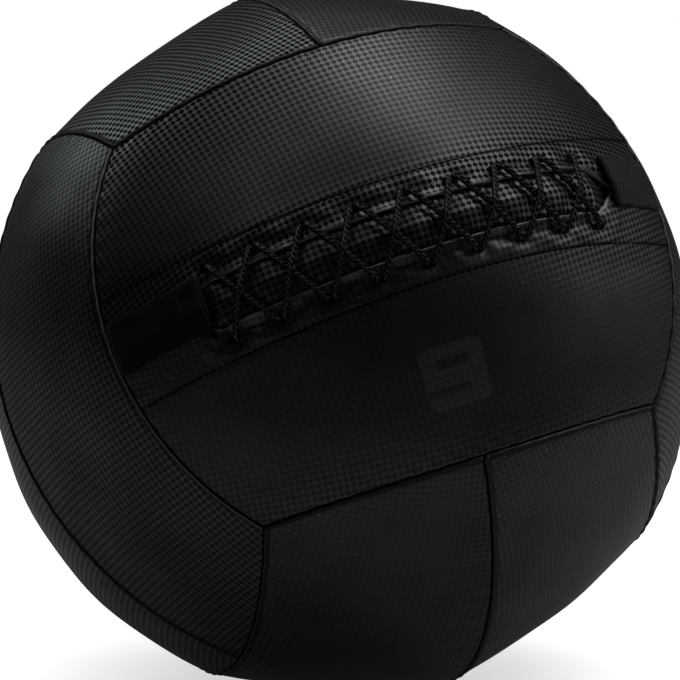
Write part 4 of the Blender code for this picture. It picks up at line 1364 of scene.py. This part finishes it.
# the left tab is the same webbing as the right one, painted darker and duller: a painted shade for the
# shadow it lies in
left_webbing = webbing_material("black webbing", (0.0065, 0.0065, 0.0067), 0.8, 0.15)
right_tab = add_tab("right_webbing_tab", 1, RIGHT_TAB_CLEARANCE, "right_end_tab", right_webbing)
left_tab = add_tab("left_webbing_tab", -1, LEFT_TAB_CLEARANCE, "left_end_tab", left_webbing)
print("tabs:", len(right_tab.data.polygons), len(left_tab.data.polygons), "cells")

# %% [markdown]
# ## Thread
# Every stitch is a short stretch of thread with rounded ends that dips into the leatherette. There are
# over a thousand, so one stitch has only a few cells, and all stitches of a seam are one mesh made at
# once: the same small shape, carried to every place along the seam.

# %% Stitches
THREAD_RADIUS = 0.00032
THREAD_LIGHT = 1.8
RING_PLACES = np.array([-1.0, -0.85, -0.4, 0.4, 0.85, 1.0])
RING_SIDES = 6
STITCH_POINTS = len(RING_PLACES) * RING_SIDES


def thread_material(name, colour, roughness, specular=0.2):
    """Twisted thread: a fine noise in its colour and its gloss."""
    material, tree, shader = new_material(name, colour, roughness, specular)
    noise = place_group(material, GRAIN, Grain_size=0.0002).outputs["Height"]
    light = tuple(THREAD_LIGHT * value for value in colour)
    tree.links.new(mix_colour(tree, noise, (*colour, 1), (*light, 1)), shader.inputs["Base Color"])
    tree.links.new(maths(tree, "MULTIPLY_ADD", noise, 0.2, roughness - 0.1), shader.inputs["Roughness"])
    return material


def even_places(points, pitch):
    """Points and headings at an even pitch along a line of points, from half a pitch in."""
    travel = travelled(points)
    places = np.arange(0.5 * pitch, travel[-1] - 0.3 * pitch, pitch)
    at = np.stack([np.interp(places, travel, points[:, k]) for k in range(3)], axis=-1)
    slopes = np.gradient(points, travel, axis=0)
    heading = np.stack([np.interp(places, travel, slopes[:, k]) for k in range(3)], axis=-1)
    return at, heading / np.linalg.norm(heading, axis=1, keepdims=True)


def stitch_shape(length, radius):
    """Rings of a stitch: along -1 to 1 the radius follows the square root of 1 - 0.9 x^4, and its ends
    dive by 1.3 x^4 of the radius."""
    x = RING_PLACES
    angle = np.arange(RING_SIDES) * 2 * np.pi / RING_SIDES
    r = radius * np.sqrt(1 - 0.9 * x ** 4)
    dive = -radius * 1.3 * x ** 4
    along = np.broadcast_to(x[:, None] * length / 2, (len(x), RING_SIDES))
    side = r[:, None] * np.cos(angle)
    up = r[:, None] * np.sin(angle) + dive[:, None]
    return np.stack([along, side, up], axis=-1).reshape(-1, 3)


def stitch_cells():
    """The cells between a stitch's rings, and two four-cornered cells over each end."""
    caps = np.array([[0, 1, 2, 3], [0, 3, 4, 5], [33, 32, 31, 30], [35, 34, 33, 30]])
    return np.concatenate([grid_quads(len(RING_PLACES), RING_SIDES, wrap=True), caps])


def add_stitches(name, lines, pitch, material, filled=0.62, radius=THREAD_RADIUS):
    """All stitches along the given lines of points as one mesh: the shape's three coordinates go along
    the line, beside it and out of the ball."""
    shape = stitch_shape(pitch * filled, radius)[None]
    points, faces = [], []
    total = 0
    for line in lines:
        at, heading = even_places(line, pitch)
        out = at - np.array([0, 0, REST_HEIGHT])
        side = np.cross(out, heading)
        side = side / np.linalg.norm(side, axis=1, keepdims=True)
        up = np.cross(heading, side)
        placed = at[:, None] + shape[..., :1] * heading[:, None]
        placed = placed + shape[..., 1:2] * side[:, None] + shape[..., 2:] * up[:, None]
        firsts = STITCH_POINTS * (total + np.arange(len(at)))
        points.append(placed.reshape(-1, 3))
        faces.append((stitch_cells()[None] + firsts[:, None, None]).reshape(-1, 4))
        total += len(at)
    points, faces = np.concatenate(points), np.concatenate(faces)
    piece = new_piece(name, points, faces, material=material, slot="lace_cord")
    print(f"{name}: {total} stitches")
    return piece


# %% [markdown]
# The stitch line beside each ridge is read off the same strip formulas, a fixed distance in from the
# edge, so it can't drift away from the ridge that it holds down.


# %% Stitches along the seams
THREAD_LIFT = 0.0001
SEAM_STITCH_PITCH = 0.0036
LINE_ENDS = (0.012, 0.988)
LINE_POINTS = 240
SEAM_THREAD = thread_material("seam thread", (0.018, 0.018, 0.0187), 0.75)


def line_on_strip(place, edge, inset, height):
    """World points along one edge of a strip, a distance in from it."""
    strip = STRIPS[place]
    normal, along_axis, across_axis = FACES[strip["face"]]
    share = np.linspace(*LINE_ENDS, LINE_POINTS)
    if edge in ("middle", "long"):
        inwards = np.full(LINE_POINTS, inset / STRIP_WIDTHS[across_axis])
        u, v = share, inwards if edge == "middle" else 1 - inwards
    else:
        length = 2 * BALL_RADIUS * math.acos(SEAM_MIDDLE[normal])
        corner_length = 2 * BALL_RADIUS * math.asin(CORNER[along_axis])
        inwards = inset / (length + (corner_length - length) * share)
        u, v = inwards if edge == "start" else 1 - inwards, share
    return on_ball(strip_directions(strip, u, v), np.full(LINE_POINTS, height))


for face, sides in (("right", "side"), ("top", "top_and_bottom")):
    lines = [
        line_on_strip(place, edge, STITCH_INSET, THREAD_LIFT - VALLEY_DEPTH)
        for place, strip in STRIPS.items() if strip["face"] == face for edge in ridged(place)
    ]
    add_stitches(sides + "_topstitching", lines, SEAM_STITCH_PITCH, SEAM_THREAD)


# %% Stitches of the closure and the tabs
CLOSURE_STITCH_PITCH = 0.0040
CLOSURE_FILLED = 0.9
TAB_STITCH_PITCH = 0.0026
CLOSURE_POINTS = 300
CLOSURE_FROM_SEAM = 0.003
TAB_LINE_POINTS = 60
TAB_LINE_FROM_EDGE = 0.001
TAB_LINE_FROM_END = 0.0022
BOX_POINTS = 180
BOX_FROM_SEAM = 0.006
BOX_FROM_FOLD = 0.012
BOX_FROM_EDGE = 0.0035


def stitch_line_places(side):
    """The long line behind a flap, at the facing's depth and at the bottom of its crease."""
    half = float(laced_face_end(np.array(side * FACING_DEPTH))) - CLOSURE_FROM_SEAM
    along = np.linspace(-half, half, CLOSURE_POINTS)
    across = np.full(CLOSURE_POINTS, side * FACING_DEPTH)
    return laced_point(along, across, np.full(CLOSURE_POINTS, THREAD_LIFT - CREASE_DEPTH))


CLOSURE_THREAD = thread_material("closure thread", (0.0008, 0.0008, 0.0009), 0.9, 0.03)
closure_lines = [stitch_line_places(1), stitch_line_places(-1)]
add_stitches(
    "closure_stitching", closure_lines, CLOSURE_STITCH_PITCH, CLOSURE_THREAD,
    filled=CLOSURE_FILLED, radius=1.5 * THREAD_RADIUS,
)


def tab_line(end, clearance, inset, height):
    """A line over a tab, across it at a distance from its free end."""
    half = TAB_WIDTH / 2 - TAB_LINE_FROM_EDGE
    across = np.linspace(TAB_OFFSET - half, TAB_OFFSET + half, TAB_LINE_POINTS)
    along = np.full(TAB_LINE_POINTS, end * (LAST_HOLE + clearance + inset))
    return laced_point(along, across, np.full(TAB_LINE_POINTS, height))


def tab_box(end, clearance):
    """The stitched outline near the seam end of a tab: half a turn, cosine across the tab and the root
    of the sine along it, which gives a round-shouldered D."""
    seam = float(laced_face_end(np.array(TAB_OFFSET))) - BOX_FROM_SEAM
    near = LAST_HOLE + clearance + TAB_FOLD + BOX_FROM_FOLD
    turn = np.linspace(0, np.pi, BOX_POINTS)
    along = seam + (near - seam) * np.sqrt(np.maximum(np.sin(turn), 0))
    across = TAB_OFFSET + (TAB_WIDTH / 2 - BOX_FROM_EDGE) * np.cos(turn)
    return laced_point(end * along, across, np.full(BOX_POINTS, LAYER_CLEARANCE + TAB_THICKNESS))


DOUBLED_TOP = 2 * (LAYER_CLEARANCE + TAB_THICKNESS)
TAB_THREAD = thread_material("tab thread", (0.05, 0.05, 0.05), 0.5)
free_end_line = tab_line(-1, LEFT_TAB_CLEARANCE, TAB_LINE_FROM_END, DOUBLED_TOP)
tab_lines = [free_end_line, tab_box(1, RIGHT_TAB_CLEARANCE)]
add_stitches("tab_stitching", tab_lines, TAB_STITCH_PITCH, TAB_THREAD)
# the left box is sewn with the near-black closure thread, not the tab thread: a painted shade, like the left
# tab's
left_box = [tab_box(-1, LEFT_TAB_CLEARANCE)]
add_stitches("left_tab_box_stitching", left_box, TAB_STITCH_PITCH, CLOSURE_THREAD)

# %% [markdown]
# ## The weight numeral
# The lower laced strip is printed with a plain numeral for its weight in kilos, in an ink hardly
# lighter than the leatherette. It is a box with rounded corners that has a hole and a notch cut out of
# it. The box is a fine grid laid a tenth of a millimetre over the cover, where only the cells inside the
# figure stay, and it takes the same checker because ink follows the emboss.

# %% Numeral
NUMERAL_PLACE = (-0.0046, -0.0773)
NUMERAL_HALF = (0.01895, 0.0160)
NUMERAL_CORNER = 0.0040
NUMERAL_HOLE = ((-0.00915, 0.00915), (0.0044, 0.0094))
NUMERAL_NOTCH = ((-0.030, 0.00735), (-0.0086, -0.0051))
NUMERAL_CELL = 0.00025
INK_TOP = 0.00012
INK_BOTTOM = -0.0002
INK_RUBBED = 0.75
INK_SLOPE = 0.1
INK_LINT = 0.1
INK = (0.020, 0.020, 0.0205)


def in_rounded_box(x, y, sides, radius):
    """Where a point lies in a box with rounded corners: how far it is past the corner's middle on each
    axis, squared and added, is at most the radius squared."""
    past = 0
    for value, (low, high) in zip((x, y), sides):
        over = np.abs(value - (low + high) / 2) - (high - low) / 2 + radius
        past = past + np.maximum(over, 0) ** 2
    return past <= radius ** 2


def add_numeral():
    """The figure 9: the rounded box less its hole and less the notch that opens to the left."""
    lines = [np.linspace(-half, half, int(2 * half / NUMERAL_CELL) + 1) for half in NUMERAL_HALF]
    x, y = np.meshgrid(*lines, indexing="ij")
    middle_x, middle_y = (x[1:, 1:] + x[:-1, :-1]) / 2, (y[1:, 1:] + y[:-1, :-1]) / 2
    outline = [(-half, half) for half in NUMERAL_HALF]
    keep = in_rounded_box(middle_x, middle_y, outline, NUMERAL_CORNER)
    for sides in (NUMERAL_HOLE, NUMERAL_NOTCH):
        keep &= ~in_rounded_box(middle_x, middle_y, sides, NUMERAL_CORNER / 4)
    directions = laced_direction(NUMERAL_PLACE[0] + x, NUMERAL_PLACE[1] + y)
    swell = SWELL_HEIGHT * unevenness(directions, list(STRIPS).index("front_lower"))
    outer, inner = on_ball(directions, swell + INK_TOP), on_ball(directions, swell + INK_BOTTOM)
    ink = leatherette("numeral ink", INK_SLOPE, INK, INK_LINT)
    return sheet_piece(
        "weight_numeral", outer, inner, strip_uv("front_lower", directions), keep,
        marks={"rubbed": np.full(x.shape, INK_RUBBED)}, material=ink, slot="leatherette",
    )


numeral = add_numeral()
print("numeral:", len(numeral.data.polygons), "cells")

# %% [markdown]
# ## What the cover hides
# Nobody sees the foam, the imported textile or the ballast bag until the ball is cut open, but they are
# parts too. Their solids are copied, remeshed evenly and given the unevenness of the soft goods that
# they are, always inwards, so that nothing grows into its neighbour.


# %% Soft pieces from their solids
SOFT_WAVES = 8


def remeshed_copy(name, node, voxel):
    """A copy of a solid's mesh, its doubles merged and its surface laid out again in even cells."""
    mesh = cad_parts[node].data.copy()
    work = bmesh.new()
    work.from_mesh(mesh)
    bmesh.ops.remove_doubles(work, verts=work.verts, dist=1e-6)
    work.to_mesh(mesh)
    work.free()
    piece = new_object(name, mesh)
    remesh = piece.modifiers.new("even cells", "REMESH")
    remesh.mode = "VOXEL"
    remesh.voxel_size = voxel
    piece.data = bpy.data.meshes.new_from_object(piece.evaluated_get(bpy.context.evaluated_depsgraph_get()))
    piece.modifiers.clear()
    piece.data.name = name
    return piece


def soft_copy(name, node, voxel, depth, size, seed, material):
    """A remeshed solid with each point drawn in along its normal, by the depth times a half plus the
    mean of a few sine waves in the world's own axes."""
    piece = remeshed_copy(name, node, voxel)
    mesh = piece.data
    points, normals = np.empty(len(mesh.vertices) * 3), np.empty(len(mesh.vertices) * 3)
    mesh.vertices.foreach_get("co", points)
    mesh.vertex_normals.foreach_get("vector", normals)
    points, normals = points.reshape(-1, 3), normals.reshape(-1, 3)
    chance = np.random.default_rng(seed)
    waves = np.zeros(len(points))
    for _ in range(SOFT_WAVES):
        heading = chance.normal(size=3)
        waves += np.sin(points @ (heading / size) + chance.uniform(0, 2 * np.pi))
    inwards = depth * np.clip(0.5 + waves / SOFT_WAVES, 0, 1)
    mesh.vertices.foreach_set("co", (points - normals * inwards[:, None]).ravel())
    mesh.materials.clear()
    mesh.materials.append(material)
    mesh.shade_smooth()
    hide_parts(node)
    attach(piece, "root")
    return piece


# %% Foam and textile
FOAM_CELLS = 900
FOAM_HEIGHT = 0.0003
FIBRE_HEIGHT = 0.0008


def foam_material():
    """Charcoal foam: open cells as a fine Voronoi bump, and a little mottling."""
    material, tree, shader = new_material("padding foam", (0.055, 0.055, 0.06), 0.9)
    place = add_node(tree, "ShaderNodeTexCoord").outputs["Object"]
    cells = add_node(tree, "ShaderNodeTexVoronoi", place)
    cells.inputs["Scale"].default_value = FOAM_CELLS
    link_bump(tree, shader, cells.outputs["Distance"], FOAM_HEIGHT)
    mottled = mix_colour(tree, cells.outputs["Distance"], (0.075, 0.075, 0.08, 1), (0.04, 0.04, 0.045, 1))
    tree.links.new(mottled, shader.inputs["Base Color"])
    return material


def textile_material():
    """Torn cotton waste: blotches of grey, blue and buff, with a fibrous bump."""
    material, tree, shader = new_material("textile filling", (0.30, 0.31, 0.33), 0.95)
    grained = place_group(material, GRAIN, Grain_size=0.0012, Patch_size=0.02)
    ramp = tree.nodes.new("ShaderNodeValToRGB")
    shades = ((0.35, (0.16, 0.18, 0.22, 1)), (0.65, (0.46, 0.44, 0.40, 1)))
    for element, (place, colour) in zip(ramp.color_ramp.elements, shades):
        element.position, element.color = place, colour
    tree.links.new(grained.outputs["Patches"], ramp.inputs[0])
    tree.links.new(ramp.outputs[0], shader.inputs["Base Color"])
    link_bump(tree, shader, grained.outputs["Height"], FIBRE_HEIGHT)
    return material


FOAM, TEXTILE = foam_material(), textile_material()
# name, solid, size of a cell, depth and length of the waves, seed, material
soft_pieces = [
    soft_copy("foam_layer", "foam_padding", 0.0033, 0.0002, 0.03, 3, FOAM),
    soft_copy("front_packed_textile", "front_filling", 0.004, 0.003, 0.012, 5, TEXTILE),
    soft_copy("rear_packed_textile", "rear_filling", 0.004, 0.003, 0.012, 7, TEXTILE),
]
print("soft pieces:", [len(piece.data.polygons) for piece in soft_pieces], "cells")

# %% [markdown]
# The ballast is heavy grit in a canvas bag that is gathered and tied. A profile turned about the bag's
# axis gives the round body and the neck, and pleats that grow towards the neck gather the cloth.

# %% Ballast bag
BALLAST_RADIUS = 0.080
BALLAST_NECK_RADIUS = 0.014
BALLAST_NECK_LENGTH = 0.022
PLEATS = 18
PLEAT_DEPTH = 0.10
THROAT_TURN = 0.24
THROAT_RISE = 0.15
THROAT_SHARES = np.array([0.7, 0.85, 1.0])
ARC_ROWS = 60
BAG_ROWS = 220
BAG_COLUMNS = 180


def canvas_material():
    """Unbleached canvas: the checker group again, at a real thread's size, and a warm grey, with the
    sunk threads painted darker as a painted shade.
    """
    material, tree, shader = new_material("ballast canvas", (0.42, 0.37, 0.28), 0.85)
    checker = place_group(material, CHECKER, Cell=0.0009, Turn=0.0, Slope=0.5, Other_slope=0.2)
    tree.links.new(checker.outputs["Normal"], shader.inputs["Normal"])
    # painted shade: the sunk threads get the darker grey
    threads = mix_colour(tree, checker.outputs["Sunk"], (0.44, 0.39, 0.30, 1), (0.30, 0.26, 0.20, 1))
    tree.links.new(threads, shader.inputs["Base Color"])
    return material


def add_ballast_bag():
    """A turned surface: a sphere's arc up to the throat and a neck over it, with the radius drawn in by
    a cosine of the turn, nothing at the waist and most at the throat, with the height's fourth power."""
    body = np.linspace(-np.pi / 2, np.pi / 2 - THROAT_TURN, ARC_ROWS)
    throat = BALLAST_RADIUS + THROAT_RISE * BALLAST_NECK_LENGTH
    top = BALLAST_RADIUS + BALLAST_NECK_LENGTH
    radius = np.concatenate([BALLAST_RADIUS * np.cos(body), BALLAST_NECK_RADIUS * THROAT_SHARES])
    height = np.concatenate([BALLAST_RADIUS * np.sin(body), [throat, (throat + top) / 2, top]])
    fine = np.linspace(0, len(radius) - 1, BAG_ROWS)
    r = np.interp(fine, np.arange(len(radius)), radius)[:, None]
    z = np.interp(fine, np.arange(len(height)), height)[:, None]
    turn = (np.arange(BAG_COLUMNS) * 2 * np.pi / BAG_COLUMNS)[None, :]
    gather = np.clip(z / BALLAST_RADIUS, 0, 1) ** 4
    r = r * (1 - gather * PLEAT_DEPTH * (1 - np.cos(PLEATS * turn)))
    z = z + 0 * turn
    local = np.stack([r * np.cos(turn), r * np.sin(turn), z], axis=-1).reshape(-1, 3)
    local = np.concatenate([local, [[0, 0, z.min()], [0, 0, z.max()]]])
    uv = np.stack([BALLAST_RADIUS * turn + 0 * z, z], axis=-1).reshape(-1, 2)
    uv = np.concatenate([uv, uv[:1], uv[-1:]])
    placed = local @ LIE.T + np.array([0, 0, REST_HEIGHT])
    piece = new_piece(
        "canvas_ballast_bag", placed, tube_faces(BAG_ROWS, BAG_COLUMNS), uv,
        material=canvas_material(), slot="canvas", stands_for=("ballast_bag",),
    )
    return piece


bag = add_ballast_bag()
print("ballast bag:", len(bag.data.polygons), "cells")

# %% [markdown]
# ## Floor
# The photograph has a white ground. More light would whiten the floor but would wash out the ball, so the
# floor is only pale, and a glow that only the camera sees, straight on or through something clear, lifts
# it to white a little way off and leaves a soft shadow at the ball's foot. Mirrored rays get a small share
# of that white: a metal object would want all of it, but black leatherette would show a white floor as a
# grey veil.

# %% Floor
FLOOR_SIZE = 30.0
FLOOR_DROP = 0.00005
FLOOR_GREY = 0.55
FLOOR_LIFT = (0.64, 0.98)
LIFT_REACH = (0.05, 0.20)
MIRRORED_LIFT = 0.05


def floor_material():
    """A pale matt floor with a glow for camera and transmission rays. It grows with the distance from
    the ball as a smooth step, so that the shadow round its foot stays, and mirrored rays get a fixed
    small glow."""
    material, tree, shader = new_material("pale floor", (FLOOR_GREY,) * 3, 0.9, 0.1)
    place = add_node(tree, "ShaderNodeTexCoord").outputs["Object"]
    away = add_node(tree, "ShaderNodeVectorMath", place, operation="LENGTH").outputs["Value"]
    lift = add_node(tree, "ShaderNodeMapRange", away, *LIFT_REACH, *FLOOR_LIFT)
    lift.interpolation_type = "SMOOTHSTEP"
    rays = add_node(tree, "ShaderNodeLightPath")
    seen = maths(tree, "MAXIMUM", rays.outputs["Is Camera Ray"], rays.outputs["Is Transmission Ray"])
    mirrored = maths(tree, "MULTIPLY", rays.outputs["Is Glossy Ray"], MIRRORED_LIFT)
    shader.inputs["Emission Color"].default_value = (1, 1, 1, 1)
    strength = maths(tree, "MULTIPLY_ADD", seen, lift.outputs[0], mirrored)
    tree.links.new(strength, shader.inputs["Emission Strength"])
    return material


def add_floor():
    """One large square, a hair under the flat that the ball rests on, so that the two never coincide."""
    half = FLOOR_SIZE / 2
    corners = [(x, y, -FLOOR_DROP) for x, y in ((-half, -half), (half, -half), (half, half), (-half, half))]
    mesh = bpy.data.meshes.new("floor")
    mesh.from_pydata(corners, [], [(0, 1, 2, 3)])
    mesh.materials.append(floor_material())
    return new_object("floor", mesh)


floor = add_floor()
print(f"floor: {FLOOR_SIZE:.0f} m square")

# %% [markdown]
# ## Light
# A black surface is seen by what it mirrors, so the lamps make the picture. They were found by lighting
# the ball from one side at a time, and mixing those pictures until the sum was like the photograph. Two
# stand above, one of them well to the right, for the bright band over the lacing. Three cool ones stand at
# the left, two behind the ball's shoulder and a weak one in front, and a warm one low on the right. The
# surround is white to the camera only, and nearly dark to the ball.

# %% World and lamps
STUDIO = 0.01
LAMP_DISTANCE = 1.2
BALL_MIDDLE = Vector((0, 0, REST_HEIGHT))
PLAIN, COOL, WARM = (1.0, 1.0, 1.0), (0.88, 0.96, 1.0), (1.0, 0.98, 0.93)
SMALL, SQUARE = (0.4, 0.5), (0.5, 0.5)
# direction from the ball, size in metres, power in watts, colour
LAMPS = {
    "key": ((0.60, -0.10, 0.79), SMALL, 3.5, PLAIN),
    "overhead": ((0.15, 0.17, 0.97), SQUARE, 3.9, PLAIN),
    "upper left": ((-0.30, 0.40, 0.87), SQUARE, 1.8, COOL),
    "left rear": ((-0.68, 0.52, 0.52), SQUARE, 1.9, COOL),
    "front left": ((-0.35, -0.30, 0.89), SQUARE, 0.75, COOL),
    "right": ((0.90, 0.15, 0.41), SQUARE, 1.6, WARM),
}


def dress_world():
    """White to camera and transmission rays, nearly dark to everything else."""
    world = bpy.data.worlds.new("studio")
    bpy.context.scene.world = world
    world.use_nodes = True
    tree = world.node_tree
    background = tree.nodes["Background"]
    rays = add_node(tree, "ShaderNodeLightPath")
    seen = maths(tree, "MAXIMUM", rays.outputs["Is Camera Ray"], rays.outputs["Is Transmission Ray"])
    strength = maths(tree, "MULTIPLY_ADD", seen, 1 - STUDIO, STUDIO)
    background.inputs[0].default_value = (1, 1, 1, 1)
    tree.links.new(strength, background.inputs[1])


def add_lamp(name, direction, size, watts, colour):
    """A rectangular lamp, one distance from the ball in a direction, and turned towards the ball."""
    data = bpy.data.lights.new(name, "AREA")
    data.shape = "RECTANGLE"
    data.size, data.size_y = size
    data.energy = watts
    data.color = colour
    lamp = new_object(name, data)
    heading = Vector(direction).normalized()
    lamp.location = BALL_MIDDLE + heading * LAMP_DISTANCE
    lamp.rotation_euler = (-heading).to_track_quat("-Z", "Y").to_euler()
    return lamp


dress_world()
lamps = [add_lamp(name + " lamp", *row) for name, row in LAMPS.items()]
print(len(lamps), "lamps,", round(sum(lamp.data.energy for lamp in lamps), 2), "watts together")

# %% [markdown]
# ## Camera
# In the photograph the ball fills the frame, and each side of the frame cuts a little off its outline. A
# sphere's outline says little of how far away and how high the camera stood, so these are guesses: 8 m
# away with a long lens, looking 10 degrees down. Its view is as wide as the photograph's 680 pixels at
# the scale that the ball's radius gave.

# %% Camera
VIEW_ELEVATION = math.radians(10)
PHOTO_PIXELS = 680
METRES_PER_PIXEL = 0.0005057
FRAME_WIDTH = PHOTO_PIXELS * METRES_PER_PIXEL
CAMERA_DISTANCE = 8.0
SENSOR = 36.0
AIM_OVER_MIDDLE = 0.00086
AIM_LEFT_OF_MIDDLE = 0.00066


def add_camera():
    """A long lens at the photograph's height: its focal length is the sensor's width times the
    distance over the width of the view."""
    data = bpy.data.cameras.new("camera")
    data.sensor_width = SENSOR
    data.lens = SENSOR * CAMERA_DISTANCE / FRAME_WIDTH
    data.clip_end = 100
    camera = new_object("camera", data)
    back = Vector((0, -math.cos(VIEW_ELEVATION), math.sin(VIEW_ELEVATION)))
    up = Vector((0, math.sin(VIEW_ELEVATION), math.cos(VIEW_ELEVATION)))
    target = BALL_MIDDLE + up * AIM_OVER_MIDDLE - Vector((AIM_LEFT_OF_MIDDLE, 0, 0))
    camera.location = target + back * CAMERA_DISTANCE
    camera.rotation_euler = (-back).to_track_quat("-Z", "Y").to_euler()
    return camera


camera = add_camera()
bpy.context.scene.camera = camera
bpy.context.scene.view_settings.view_transform = "Standard"
print(f"camera with a {camera.data.lens:.0f} mm lens")
